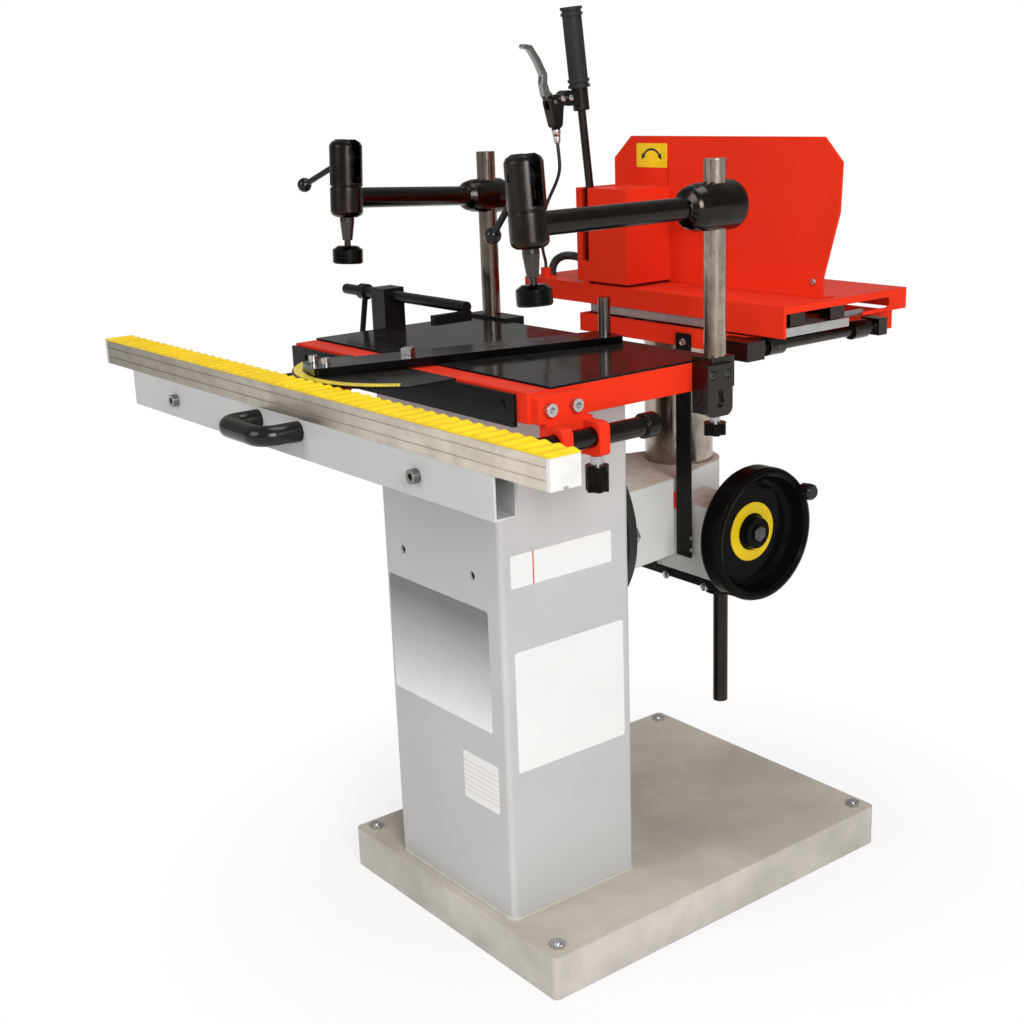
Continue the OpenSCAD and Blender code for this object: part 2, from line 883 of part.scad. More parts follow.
module clamp_arm_cuts() {
    translate([0, -arm_reach, 0]) {
        upright(0, 0, head_bottom - cut, plunger_top + cam_e + 2, plunger_d + 2 * fit);
        span(-head_d, head_d, -slot_w / 2, slot_w / 2, slot_floor, head_top + cut);
        span(-head_d, 0, -slot_w / 2, slot_w / 2, lever_floor, head_top + cut);
        along_y(0, -head_d, head_d, cam_z, cam_pin_d + 2 * fit);
    }
}

module right_clamp() {
    translate([post_right[0], post_right[1], arm_z])
        children();
}

module right_tilt() {
    rotate([0, -right_lean, 0])
        children();
}

module left_clamp() {
    translate([post_left[0], post_left[1], arm_z - left_drop])
        rotate([0, 0, left_swing])
            children();
}

module left_tilt() {
    rotate([-left_rise, 0, 0])
        children();
}

module clamp_arm_right() {
    color([0.12, 0.12, 0.12])
        right_clamp()
            difference() {
                right_tilt()
                    clamp_arm_body(collar_r);
                upright(0, 0, -2 * collar_r, 2 * collar_r, post_d + 2 * fit);
                right_tilt()
                    clamp_arm_cuts();
            }
}

module clamp_arm_left() {
    color([0.12, 0.12, 0.12])
        left_clamp()
            difference() {
                left_tilt()
                    clamp_arm_body(left_collar_r);
                upright(0, 0, -2 * collar_r, 2 * collar_r, post_d + 2 * fit);
                left_tilt()
                    clamp_arm_cuts();
            }
}

// Cam disc on its cross pin with the ball lever, pointing towards the operator and down by an angle
module cam_lever(angle) {
    width = slot_w - 2 * gap;
    ball = 20;
    color(black)
        translate([0, -arm_reach, cam_z]) {
            along_y(0, -head_d / 2 + 2, head_d / 2 - 2, 0, cam_pin_d);
            rotate([0, 0, -90]) {
                rotate([angle - cam_down, 0, 0])
                    along_x(-width / 2, width / 2, -cam_e, 0, 2 * cam_r);
                rotate([angle, 0, 0]) {
                    along_y(0, -cam_len, -cam_r / 2, 0, 8);
                    translate([0, -cam_len, 0])
                        sphere(d = ball);
                }
            }
        }
}

module cam_lever_right() {
    right_clamp()
        right_tilt()
            cam_lever(right_cam_angle);
}

module cam_lever_left() {
    left_clamp()
        left_tilt()
            cam_lever(left_cam_angle);
}

// Plunger with its pad, lifted as far as the raised cam lever lets it
module plunger(angle) {
    lift = cam_e * (cam_down - angle) / 90;
    neck_d = 9;
    stem_d = 14;
    color(steel)
        translate([0, -arm_reach, lift]) {
            upright(0, 0, button_z - 1, plunger_top, button_d);
            upright(0, 0, head_bottom - 6, button_z, plunger_d);
            translate([0, 0, plunger_bottom])
                cylinder(h = head_bottom - 6 - plunger_bottom, d1 = stem_d, d2 = plunger_d);
            upright(0, 0, pad_top - 2, plunger_bottom, neck_d);
        }
    color(black)
        translate([0, -arm_reach, pad_bottom + lift]) {
            cylinder(h = 2, d1 = pad_d - 4, d2 = pad_d);
            translate([0, 0, 2])
                cylinder(h = pad_top - pad_bottom - 7, d = pad_d);
            translate([0, 0, pad_top - pad_bottom - 5])
                cylinder(h = 5, d1 = pad_d, d2 = pad_d * 0.66);
        }
}

module plunger_right() {
    right_clamp()
        right_tilt()
            plunger(right_cam_angle);
}

module plunger_left() {
    left_clamp()
        left_tilt()
            plunger(left_cam_angle);
}

// Lift
module arm_casting() {
    boss_r = quill_d / 2 + boss_wall;
    gear_y0 = gear_y - gear_half;
    gear_y1 = gear_y + gear_half;
    color(grey)
        difference() {
            union() {
                along_y(0, column_y1, arm_y0, flange_z, 2 * flange_r);
                translate([0, 0, casting_z0])
                    linear_extrude(casting_z1 - casting_z0)
                        polygon([[-arm_half, arm_y0], [arm_half, arm_y0], [neck_half, neck_y],
                            [boss_r, quill_y],
                            [-boss_r, quill_y], [-neck_half, neck_y]]);
                upright(0, quill_y, casting_z0 - 12, casting_z1, 2 * boss_r);
                span(gear_x0 - 30, gear_x1, gear_y0, gear_y1, gear_z0, gear_z1);
            }
            upright(0, quill_y, gear_z0 - cut, casting_z1 + cut, quill_d + 2 * fit);
            translate([0, 0, casting_z0 + casting_wall])
                linear_extrude(casting_z1 - casting_z0 - 2 * casting_wall)
                    polygon([[-arm_half + casting_wall, arm_y0], [arm_half - casting_wall, arm_y0],
                        [neck_half - casting_wall, neck_y], [-neck_half + casting_wall, neck_y]]);
            span(gear_x0 + 18, gear_x1 + cut, gear_y0 + gear_wall, gear_y1 - gear_wall,
                gear_z0 + gear_wall,
                gear_z1 - gear_wall);
            upright(screw_x, gear_y, gear_z0 - cut, gear_z0 + gear_wall + cut, screw_d + 2 * fit);
            for (k = [0:5])
                translate([0, 0, flange_z])
                    rotate([0, 60 * k, 0])
                        along_y(flange_r - 20, column_y1 - cut, arm_y0 + cut, 0, 16 + 2 * fit);
        }
}

module gear_cover() {
    color(grey)
        difference() {
            span(gear_x1, gear_x1 + cover_t, gear_y - gear_half, gear_y + gear_half, gear_z0, gear_z1);
            along_x(gear_x1 - cut, gear_x1 + cover_t + cut, gear_y, shaft_z, shaft_d + 2 * fit);
        }
}

module flange_bolts() {
    nut = 13;
    color(steel)
        for (k = [0:5])
            translate([0, 0, flange_z])
                rotate([0, 60 * k, 0]) {
                    along_y(flange_r - 20, column_y1, arm_y0 + nut, 0, 16);
                    along_y(flange_r - 20, arm_y0, arm_y0 + 3, 0, 30);
                    translate([flange_r - 20, arm_y0 + 3, 0])
                        rotate([-90, 0, 0])
                            cylinder(h = nut - 3, d = 26, $fn = 6);
                }
}

module height_pointer() {
    y1 = gear_y - gear_half;
    x0 = gear_x0 + 10.5;
    thick = y1 - saddle_y0 - gap;
    color(red)
        translate([0, y1, 0])
            rotate([90, 0, 0])
                linear_extrude(thick)
                    polygon([[x0, gear_z1 - 12], [x0 + 6, gear_z1 - 12], [x0 + 13, gear_z1],
                        [x0 + 6, gear_z1 + 12], [x0, gear_z1 + 12]]);
}

module quill() {
    wall = 12;
    color([0.42, 0.4, 0.37])
        difference() {
            upright(0, quill_y, quill_z0, saddle_z0, quill_d);
            upright(0, quill_y, quill_z0 + wall, saddle_z0 - wall, quill_d - 2 * wall);
        }
}

// Plate under the quill that holds the bronze nut of the lift screw
module nut_plate() {
    nut_flange = 9;
    color(black)
        difference() {
            union() {
                round_span(-58, screw_x + 25, gear_y - 28, quill_y + 56, quill_z0 - nut_plate_t,
                    quill_z0, 6);
                upright(screw_x, gear_y, quill_z0 - nut_plate_t - nut_flange, quill_z0, screw_d + 24);
            }
            upright(screw_x, gear_y, quill_z0 - nut_plate_t - nut_flange - cut, quill_z0 + cut,
                screw_d + 2 * fit);
        }
}

// Cone of a bevel gear with straight teeth, its apex at the origin, pointing up
module bevel() {
    teeth = 16;
    face = bevel_r - bevel_small;
    difference() {
        translate([0, 0, -bevel_r])
            cylinder(h = face, r1 = bevel_r - bevel_gap, r2 = bevel_small - bevel_gap);
        for (k = [0:teeth - 1])
            rotate([0, 0, 360 * k / teeth])
                translate([bevel_r, 0, -bevel_r])
                    rotate([0, -45, 0])
                        translate([-3, -1.2, -cut])
                            cube([6, 2.4, 3 * face]);
    }
}

module lift_screw() {
    color(steel) {
        upright(screw_x, gear_y, screw_z0, shaft_z - bevel_small, screw_d);
        translate([screw_x, gear_y, shaft_z])
            bevel();
    }
}

module handwheel() {
    rim = 12;
    web = 8;
    hub = wheel_depth - 14;
    color(black) {
        along_x(screw_x + bevel_small, wheel_x + hub, gear_y, shaft_z, shaft_d);
        translate([screw_x, gear_y, shaft_z])
            rotate([0, -90, 0])
                bevel();
        difference() {
            translate([wheel_x, gear_y, shaft_z])
                rotate([0, 90, 0])
                    rotate_extrude($fn = 96)
                        polygon([[shaft_d / 2, -4], [26, -4], [30, -1], [wheel_r - rim - 8, 1],
                            [wheel_r - rim, 0], [wheel_r - 5, 0], [wheel_r - 1.5, 1.5], [wheel_r, 5],
                            [wheel_r, wheel_depth - 7], [wheel_r - 2, wheel_depth - 2],
                            [wheel_r - 6, wheel_depth], [wheel_r - rim + 3, wheel_depth],
                            [wheel_r - rim - 1, wheel_depth - 3], [wheel_r - rim - 2, wheel_depth - 8],
                            [wheel_r - rim - 8, web + 4], [wheel_r - rim - 14, web], [26, web], [22, hub],
                            [shaft_d / 2, hub]]);
            along_x(wheel_x + wheel_depth - 8, wheel_x + wheel_depth + cut,
                gear_y + knob_r * cos(knob_turn),
                shaft_z + knob_r * sin(knob_turn), 8 + 2 * fit);
        }
    }
}

module wheel_ring() {
    color(yellow)
        translate([wheel_x + 8, gear_y, shaft_z])
            rotate([0, 90, 0])
                rotate_extrude($fn = 96)
                    translate([27, 0])
                        square([16, 2]);
}

module crank_knob() {
    y = gear_y + knob_r * cos(knob_turn);
    z = shaft_z + knob_r * sin(knob_turn);
    x = wheel_x + wheel_depth + gap;
    color(black) {
        along_x(x - gap - 7, x, y, z, 8);
        translate([x, y, z])
            rotate([0, 90, 0])
                rotate_extrude()
                    polygon([[0, 0], [9, 0], [11, 3], [12, 14], [11.5, 20], [9, 23], [0, 23]]);
    }
}

// Slides
module saddle() {
    color(red)
        difference() {
            span(saddle_x0, saddle_x1, saddle_y0, saddle_y1, saddle_z0, saddle_z1);
            span(saddle_x0 + saddle_wall, saddle_x1 - saddle_wall, saddle_y0 + saddle_wall,
                saddle_y1 - saddle_wall, saddle_z0 + saddle_wall, saddle_z1 + cut);
        }
}

module depth_rods() {
    color(steel)
        for (x = depth_rod_x)
            along_y(x, saddle_y0 + saddle_wall, saddle_y1 - saddle_wall, depth_rod_z, slide_rod_d);
}

module depth_stop_rod() {
    block = 26;
    color([0.16, 0.15, 0.15]) {
        along_y(stop_rod_x, stop_block_y0 + 6, stop_rod_y1, stop_rod_z, stop_rod_d);
        span(saddle_x1 - 27, stop_rod_x + block / 2 + 3, stop_block_y0, saddle_y0, stop_rod_z - block / 2,
            stop_rod_z + block / 2);
        span(saddle_x1, stop_rod_x + block / 2, stop_rod_y1 - 18, stop_rod_y1, stop_rod_z - 12,
            stop_rod_z + 12);
    }
}

module stop_collar(y) {
    color(black)
        difference() {
            along_y(stop_rod_x, y, y + collar_l, stop_rod_z, collar_d);
            along_y(stop_rod_x, y - cut, y + collar_l + cut, stop_rod_z, stop_rod_d + 2 * fit);
        }
}

module stop_collar_front() {
    stop_collar(front_collar_y);
}

module stop_collar_rear() {
    stop_collar(rear_collar_y);
}

module height_scale() {
    width = 29;
    x0 = gear_x0 + 20;
    color(black)
        span(x0, x0 + width, saddle_y0 - 3, saddle_y0, flange_z - 56, saddle_z1 - 8);
}

module carriage() {
    finger = 15;
    color(grey) {
        difference() {
            union() {
                span(plate_x0, plate_x1, saddle_y0 + lip_t + 1, saddle_y0 + plate_d, plate_z0, plate_z1);
                for (x = depth_rod_x, y = depth_bearing_y)
                    span(x - bearing_half, x + bearing_half, y, y + bearing_l,
                        depth_rod_z - slide_rod_d / 2 - 2,
                        plate_z0);
                for (x = side_bearing_x, y = side_rod_y)
                    span(x, x + side_bearing_l, y - bearing_half, y + bearing_half, plate_z1,
                        side_rod_z + slide_rod_d / 2 + 3);
                span(stop_rod_x - 12, stop_rod_x + 12, saddle_y0 + plate_d - 35,
                    saddle_y0 + plate_d - 35 + finger,
                    stop_rod_z + stop_rod_d / 2 + 2, plate_z0);
            }
            for (x = depth_rod_x, y = depth_bearing_y)
                along_y(x, y - cut, y + bearing_l + cut, depth_rod_z, slide_rod_d + 2 * fit);
            for (x = side_bearing_x, y = side_rod_y)
                along_x(x - cut, x + side_bearing_l + cut, y, side_rod_z, slide_rod_d + 2 * fit);
        }
    }
}

// Head
module tray() {
    slot_z = tray_z0 + 12;
    slot_end = tray_y1 - 42;
    lug_h = 30;
    color(red)
        difference() {
            union() {
                span(tray_x0, tray_x1, tray_y0, tray_y1, tray_z0, tray_z1);
                for (x = [pivot[0] - hub_half - gap - lug_t, pivot[0] + hub_half + gap])
                    span(x, x + lug_t, pivot[1] - lug_h / 2, pivot[1] + lug_h / 2, tray_z1 - 1,
                        tray_z1 + lug_h);
                span(tray_x1 - lip_w, tray_x1, tray_y0, tray_y0 + lip_t, plate_z0, tray_z0 + 1);
                upright(pivot[0] + cable_end[0], pivot[1] + cable_end[1], tray_z1 - 1,
                    tray_z1 + gland_h, 16);
            }
            along_x(pivot[0] - 30, pivot[0] + 30, pivot[1], pivot[2], pivot_d + 2 * fit);
            span(tray_x0 + tray_sheet, tray_x1 - tray_sheet, tray_y0 + tray_sheet, tray_y1 - tray_sheet,
                tray_z0 - cut, tray_z1 - tray_sheet);
            span(tray_x1 - tray_sheet - cut, tray_x1 + cut, tray_y0 + 5, slot_end - 50,
                tray_z0 - cut, slot_z + 7);
            span(tray_x1 - tray_sheet - cut, tray_x1 + cut, tray_y0 + 5, slot_end, slot_z - 7, slot_z + 7);
            along_x(tray_x1 - tray_sheet - cut, tray_x1 + cut, slot_end, slot_z, 14);
        }
}

module side_rods() {
    color(steel)
        for (y = side_rod_y) {
            along_x(tray_x0 + tray_sheet + hanger_l, tray_x1 - tray_sheet - hanger_l, y,
                side_rod_z, slide_rod_d);
            for (x = [tray_x0 + tray_sheet, tray_x1 - tray_sheet - hanger_l])
                span(x, x + hanger_l, y - hanger_half, y + hanger_half, side_rod_z - slide_rod_d / 2 - 2,
                    tray_z1 - tray_sheet);
        }
}

module guard_panel() {
    top_in_left = 38;
    top_in_right = 31;
    top_drop = 32;
    waist = 84;
    foot = 24;
    color(red) {
        translate([0, panel_y + panel_t, 0])
            rotate([90, 0, 0])
                linear_extrude(panel_t)
                    difference() {
                        polygon([[panel_x0, tray_z1], [panel_x0, panel_z1 - top_drop],
                            [panel_x0 + top_in_left, panel_z1], [panel_x1 - top_in_right, panel_z1],
                            [panel_x1, panel_z1 - top_drop], [panel_x1 - 3, tray_z1 + panel_h - 96],
                            [panel_x1 - 29, tray_z1 + 28], [panel_x1 - 29, tray_z1]]);
                        translate([spindle_x, spindle_z])
                            circle(d = chuck_d + 14);
                    }
        difference() {
            span(panel_x0 + 2, panel_x1 - 31, panel_y + panel_t, panel_y + panel_t + foot, tray_z1,
                tray_z1 + 2);
            span(spindle_x - motor_d / 2 - 14, spindle_x + motor_d / 2 + 14, bracket_y - 1,
                panel_y + panel_t + foot + cut, tray_z1 - cut, tray_z1 + 2 + cut);
        }
    }
}

// Folded box round the lever's foot, open at the back and below, with a slot for the lever
module lever_box() {
    flange_w = 58;
    flange_t2 = 2;
    slot_z0 = tray_z1 + 34;
    x = pivot[0];
    color(red)
        difference() {
            union() {
                difference() {
                    span(box_x0, box_x1, box_y0, panel_y, box_z0, box_z1);
                    span(box_x0 + box_sheet, box_x1 - box_sheet, box_y0 + box_sheet, panel_y + cut,
                        box_z0 - cut,
                        box_z1 - box_sheet);
                }
                span(box_x1 - box_sheet, box_x1 + flange_w, panel_y - flange_t2, panel_y, tray_z1,
                    tray_z1 + panel_h - 34);
                span(x - 6, x + 6, box_y0, box_y0 + box_sheet, tray_z1, box_z0 + box_sheet);
            }
            span(x - lever_slot / 2, x + lever_slot / 2, box_y0 - cut, panel_y - 8,
                box_z1 - box_sheet - cut,
                box_z1 + cut);
            span(x - lever_slot / 2, x + lever_slot / 2, box_y0 - cut, box_y0 + box_sheet + cut, slot_z0,
                box_z1 + cut);
        }
}

// Motor on its angle bracket, with fins, fan cowl and terminal box
module motor() {
    fin_step = 12;
    fin_h = 6;
    core = motor_d - 2 * fin_h;
    cowl = 18;
    y1 = motor_y0 + motor_len;
    x0 = spindle_x - motor_d / 2 - 13;
    x1 = spindle_x + motor_d / 2 + 13;
    color([0.25, 0.26, 0.28])
        difference() {
            union() {
                along_y(spindle_x, motor_y0, y1 - cowl, spindle_z, core);
                for (a = [-48 : fin_step : 228])
                    translate([spindle_x, 0, spindle_z])
                        rotate([0, a, 0])
                            span(core / 2 - 2, motor_d / 2 - 1.5, motor_y0 + 8, y1 - cowl + 2, -1.2, 1.2);
                along_y(spindle_x, y1 - cowl, y1, spindle_z, motor_d - 2);
                along_y(spindle_x, motor_y0, motor_y0 + 10, spindle_z, motor_d);
                span(spindle_x - 30, spindle_x + 30, motor_y0 + 24, motor_y0 + 88,
                    spindle_z + core / 2 - 6,
                    spindle_z + motor_d / 2 + 24);
                span(x0, x1, bracket_y, motor_y0, tray_z1, spindle_z + motor_d / 2 + 10);
                span(x0, x1, motor_y0, motor_y0 + 56, tray_z1, tray_z1 + 8);
            }
            along_y(spindle_x, bracket_y - cut, motor_y0 + 20, spindle_z, spindle_d + 2 * fit);
        }
}

module chuck() {
    jaw_l = 12;
    jaws = 3;
    nose = chuck_y0 + jaw_l;
    back = chuck_y0 + chuck_len;
    color(steel)
        difference() {
            union() {
                along_y(spindle_x, nose + 8, back, spindle_z, chuck_d);
                translate([spindle_x, nose, spindle_z])
                    rotate([-90, 0, 0])
                        cylinder(h = 8, d1 = chuck_d * 0.6, d2 = chuck_d);
                along_y(spindle_x, back, motor_y0 + 18, spindle_z, spindle_d);
                for (k = [0:jaws - 1])
                    translate([spindle_x, 0, spindle_z])
                        rotate([0, 360 * k / jaws, 0])
                            span(chuck_bore / 2 + 1, chuck_bore / 2 + 7, chuck_y0, nose + 4, -3, 3);
            }
            along_y(spindle_x, chuck_y0 - cut, back - 6, spindle_z, chuck_bore);
        }
}

// Control lever
module lever_place() {
    translate(pivot)
        rotate([lever_lean, 0, 0])
            children();
}

module control_lever() {
    clamp_r = 12;
    body = 18;
    pin_l = hub_half + gap + lug_t;
    color(black)
        lever_place() {
            difference() {
                union() {
                    along_x(-hub_half, hub_half, 0, 0, 2 * hub_r);
                    upright(0, 0, 0, lever_len - 2, lever_d);
                    upright(0, 0, mount_z0, grip_z0 - gap, 2 * clamp_r);
                    translate([-body / 2, 0, brake_z])
                        rotate([90, 0, 90])
                            linear_extrude(body) {
                                hull() {
                                    translate([-29, 5])
                                        circle(r = 11);
                                    translate([-8, 2])
                                        circle(r = 10);
                                }
                                hull() {
                                    translate([-46, 4])
                                        circle(r = 7);
                                    translate([-29, 5])
                                        circle(r = 9);
                                }
                                hull() {
                                    translate([-54, 3])
                                        circle(r = 10);
                                    translate([-46, 4])
                                        circle(r = 8);
                                    translate([-52, -27])
                                        circle(r = 7);
                                }
                            }
                    translate([0, barrel_y, barrel_z0])
                        cylinder(h = barrel_z1 - barrel_z0 + 2, r1 = 3.5, r2 = 7);
                }
                span(-blade_w / 2 - gap, blade_w / 2 + gap, blade_y - 30, blade_y + 9, blade_z - 9,
                    grip_z0 + 20);
                along_x(-20, 20, blade_y, blade_z, 6 + 2 * fit);
            }
            along_x(-pin_l, pin_l, 0, 0, pivot_d);
        }
}

module rubber_grip() {
    ring_l = 4;
    ribs = 18;
    pitch = (grip_len - 34) / ribs;
    color([0.1, 0.1, 0.1])
        lever_place()
            difference() {
                union() {
                    upright(0, 0, grip_z0, lever_len, 2 * grip_r);
                    for (z = [grip_z0, grip_z0 + 8, lever_len - 12, lever_len - ring_l])
                        upright(0, 0, z, z + ring_l, 2 * grip_r + 4);
                    for (k = [0:ribs - 1])
                        upright(0, 0, grip_z0 + 16 + k * pitch, grip_z0 + 16 + k * pitch + 2,
                            2 * grip_r + 0.3);
                }
                upright(0, 0, grip_z0 - cut, lever_len - 2, lever_d + 2 * fit);
            }
}

module brake_blade() {
    path = [[0, 0, 7], [-10.6, 13.3, 6], [-13, 27.6, 5], [-10.7, 39.4, 4.5], [-19.4, 60.5, 4],
        [-30.4, 78.9, 3.6], [-41, 82, 3.2]];
    color(steel)
        lever_place()
            translate([0, blade_y, blade_z]) {
                along_x(-9, 9, 0, 0, 6);
                rotate([90, 0, 90])
                    translate([0, 0, -blade_w / 2])
                        linear_extrude(blade_w)
                            for (i = [0:len(path) - 2])
                                hull() {
                                    translate([path[i][0], path[i][1]])
                                        circle(r = path[i][2], $fn = 24);
                                    translate([path[i + 1][0], path[i + 1][1]])
                                        circle(r = path[i + 1][2], $fn = 24);
                                }
            }
}

module brake_cable() {
    color(black)
        translate(pivot)
            swept(cable_route, [for (p = cable_route) cable_d / 2], 8);
}

// Ribbed conduit, its rings alternately wide and narrow
module conduit() {
    rings = 64;
    groove = 0.8;
    last = len(conduit_route) - 1;
    path = [for (i = [0:rings]) between(conduit_route, last * i / rings)];
    radii = [for (i = [0:rings]) conduit_d / 2 - (i % 4 < 2 ? groove : 0)];
    color(black)
        translate(pivot)
            swept(path, radii, 8);
}

base_pan();
anchor_bolts();
column();
table_body();
table_sheet();
front_apron();
angle_scale();
rail_profile();
rail_end_caps();
ribbed_strip();
rail_tube();
bow_handle();
guide_rods();
tube_bolts();
rod_brackets();
bracket_bolts();
rod_lock_right();
rod_lock_left();
fence_bar();
fence_bolts();
stop_post();
flip_stop();
post_bracket_right();
post_bracket_left();
clamp_posts();
star_knob();
clamp_arm_right();
clamp_arm_left();
cam_lever_right();
cam_lever_left();
plunger_right();
plunger_left();
arm_casting();
gear_cover();
flange_bolts();
height_pointer();
quill();
nut_plate();
lift_screw();
handwheel();
wheel_ring();
crank_knob();
saddle();
depth_rods();
depth_stop_rod();
stop_collar_front();
stop_collar_rear();
height_scale();
carriage();
tray();
side_rods();
guard_panel();
lever_box();
motor();
chuck();
control_lever();
rubber_grip();
brake_blade();
brake_cable();
conduit();
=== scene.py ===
import math

import bmesh
import bpy
from bpy.props import FloatProperty, FloatVectorProperty, PointerProperty
from mathutils import Matrix, Vector


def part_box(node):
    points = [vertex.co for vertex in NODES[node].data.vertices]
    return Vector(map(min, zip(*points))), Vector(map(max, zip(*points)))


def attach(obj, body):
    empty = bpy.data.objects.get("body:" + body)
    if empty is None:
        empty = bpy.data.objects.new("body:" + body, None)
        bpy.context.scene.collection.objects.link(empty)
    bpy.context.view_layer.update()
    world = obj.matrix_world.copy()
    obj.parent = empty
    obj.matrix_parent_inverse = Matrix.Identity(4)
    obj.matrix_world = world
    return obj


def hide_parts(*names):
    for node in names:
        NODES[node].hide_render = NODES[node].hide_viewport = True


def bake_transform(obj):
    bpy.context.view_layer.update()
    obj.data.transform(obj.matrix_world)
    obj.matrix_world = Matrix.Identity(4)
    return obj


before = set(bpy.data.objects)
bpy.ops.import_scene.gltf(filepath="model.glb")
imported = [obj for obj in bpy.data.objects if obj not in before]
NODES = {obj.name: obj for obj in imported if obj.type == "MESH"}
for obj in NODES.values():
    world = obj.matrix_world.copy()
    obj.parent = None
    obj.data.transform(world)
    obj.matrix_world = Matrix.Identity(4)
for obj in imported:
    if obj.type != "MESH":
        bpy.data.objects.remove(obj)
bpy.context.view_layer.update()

bl_info = {
    "name": "Slot mortiser finish",
    "version": (1, 0, 0),
    "blender": (4, 5, 0),
    "location": "View3D > Sidebar > Mortiser",
    "description": "Paint, bare metal, plates and small trim for a horizontal slot mortiser",
    "category": "Object",
}

X_AXIS = Vector((1, 0, 0))
Y_AXIS = Vector((0, 1, 0))
Z_AXIS = Vector((0, 0, 1))

# The control lever leans about its pivot, and the brake's barrel stands in front of it
LEVER_PIVOT = Vector((-0.098, 0.072, 0.916))
LEVER_LEAN = math.radians(6.4)
BARREL_FORE = -0.052
BARREL_FOOT = 0.197

# Where two tones of one piece meet, along Y for the flange and along Z for the rest; above PLATE_TOP the
# carriage's bearing blocks take a painted shade
FLANGE_BACK = -0.0735
PLATE_TOP = 0.8683
FENCE_TOP = 0.8543
PAD_TOPS = {"plunger_right": 0.972, "plunger_left": 0.983}
KNOB_TOPS = {"rod_lock_right": 0.7455, "rod_lock_left": 0.7455, "star_knob": 0.7635}

KNOB_BLACK = (0.006, 0.006, 0.0065)
OIL_STAIN = (0.09, 0.055, 0.03)


def colour(name, description, default):
    return FloatVectorProperty(name=name, description=description, default=default, size=3, min=0, max=1,
                               subtype="COLOR")


def length(name, description, default):
    return FloatProperty(name=name, description=description, default=default, min=0, unit="LENGTH")


class MortiserColours(bpy.types.PropertyGroup):
    stand: colour("Stand", "Light grey paint of the column and the rail's tube", (0.47, 0.468, 0.464))
    casting: colour("Casting", "Paler grey paint of the arm casting and the gear cover",
                    (0.59, 0.60, 0.575))
    pan: colour("Base pan", "Dusty grey paint of the base pan", (0.47, 0.445, 0.405))
    red: colour("Red", "Red paint of the table, the tray and the guard", (0.70, 0.030, 0.010))
    black: colour("Black", "Black paint of the table sheet and the apron", (0.006, 0.006, 0.0065))
    yellow: colour("Yellow", "Yellow plastic of the ribbed strip and the wheel's ring",
                   (0.80, 0.545, 0.004))
    plate: colour("Plate", "Pale ground of the bare plates", (0.73, 0.73, 0.72))


class MortiserSizes(bpy.types.PropertyGroup):
    plate_thickness: length("Plate thickness", "Thickness of the bare plates on the column", 0.0006)
    weld_radius: length("Weld radius", "Radius of the weld bead", 0.0042)
    cable_diameter: length("Cable diameter", "Diameter of the brake cable", 0.005)
    conduit_diameter: length("Conduit diameter", "Diameter of the ribbed conduit", 0.013)
    floor_size: length("Floor size", "Side of the floor", 30.0)


def colours():
    return bpy.context.scene.mortiser_colours


def sizes():
    return bpy.context.scene.mortiser_sizes


# Shader nodes


def add(tree, kind, settings=None, values=None, **sockets):
    """A node with its settings, and with its sockets set or linked by place or by name."""
    made = tree.nodes.new(kind)
    for key, value in (settings or {}).items():
        setattr(made, key, value)
    pairs = list(enumerate(values or [])) + [(k.replace("_", " "), v) for k, v in sockets.items()]
    for key, value in pairs:
        if isinstance(value, bpy.types.NodeSocket):
            tree.links.new(value, made.inputs[key])
        else:
            made.inputs[key].default_value = value
    return made


def math_node(tree, operation, *values, clamp=False):
    return add(tree, "ShaderNodeMath", {"operation": operation, "use_clamp": clamp}, values).outputs[0]


def product(tree, first, *others):
    for other in others:
        first = math_node(tree, "MULTIPLY", first, other)
    return first


def noise(tree, vector, scale, detail=3.0, rough=0.55):
    made = add(tree, "ShaderNodeTexNoise", Vector=vector, Scale=scale, Detail=detail, Roughness=rough)
    return made.outputs["Fac"]


def ramp(tree, value, low, high, low_to=0.0, high_to=1.0):
    """Maps the values between low and high to those between low_to and high_to, and no further."""
    made = add(tree, "ShaderNodeMapRange", {"clamp": True}, None, Value=value, From_Min=low,
               From_Max=high, To_Min=low_to, To_Max=high_to)
    return made.outputs[0]


def mix_colour(tree, share, first, second):
    made = tree.nodes.new("ShaderNodeMix")
    made.data_type = "RGBA"
    for socket, value in ((made.inputs[0], share), (made.inputs[6], first), (made.inputs[7], second)):
        if isinstance(value, bpy.types.NodeSocket):
            tree.links.new(value, socket)
        else:
            socket.default_value = value
    return made.outputs[2]


def shaded(tree, tone, gain):
    return add(tree, "ShaderNodeVectorMath", {"operation": "SCALE"}, [tone], Scale=gain).outputs[0]


def rgba(values, gain=1.0):
    return (values[0] * gain, values[1] * gain, values[2] * gain, 1.0)


def group_tree(name, inputs, outputs):
    """An empty node group with its sockets, each given as a name, a kind and, for an input, a default."""
    tree = bpy.data.node_groups.new(name, "ShaderNodeTree")
    kinds = {"c": "NodeSocketColor", "f": "NodeSocketFloat", "v": "NodeSocketVector"}
    for socket, kind, default in inputs:
        made = tree.interface.new_socket(socket, in_out="INPUT", socket_type=kinds[kind])
        made.default_value = default
    for socket, kind in outputs:
        tree.interface.new_socket(socket, in_out="OUTPUT", socket_type=kinds[kind])
    start = tree.nodes.new("NodeGroupInput")
    end = tree.nodes.new("NodeGroupOutput")
    return tree, start.outputs, end.inputs


def object_point(tree):
    return tree.nodes.new("ShaderNodeTexCoord").outputs["Object"]


def coordinate(tree, axis):
    return add(tree, "ShaderNodeSeparateXYZ", None, [object_point(tree)]).outputs[axis]


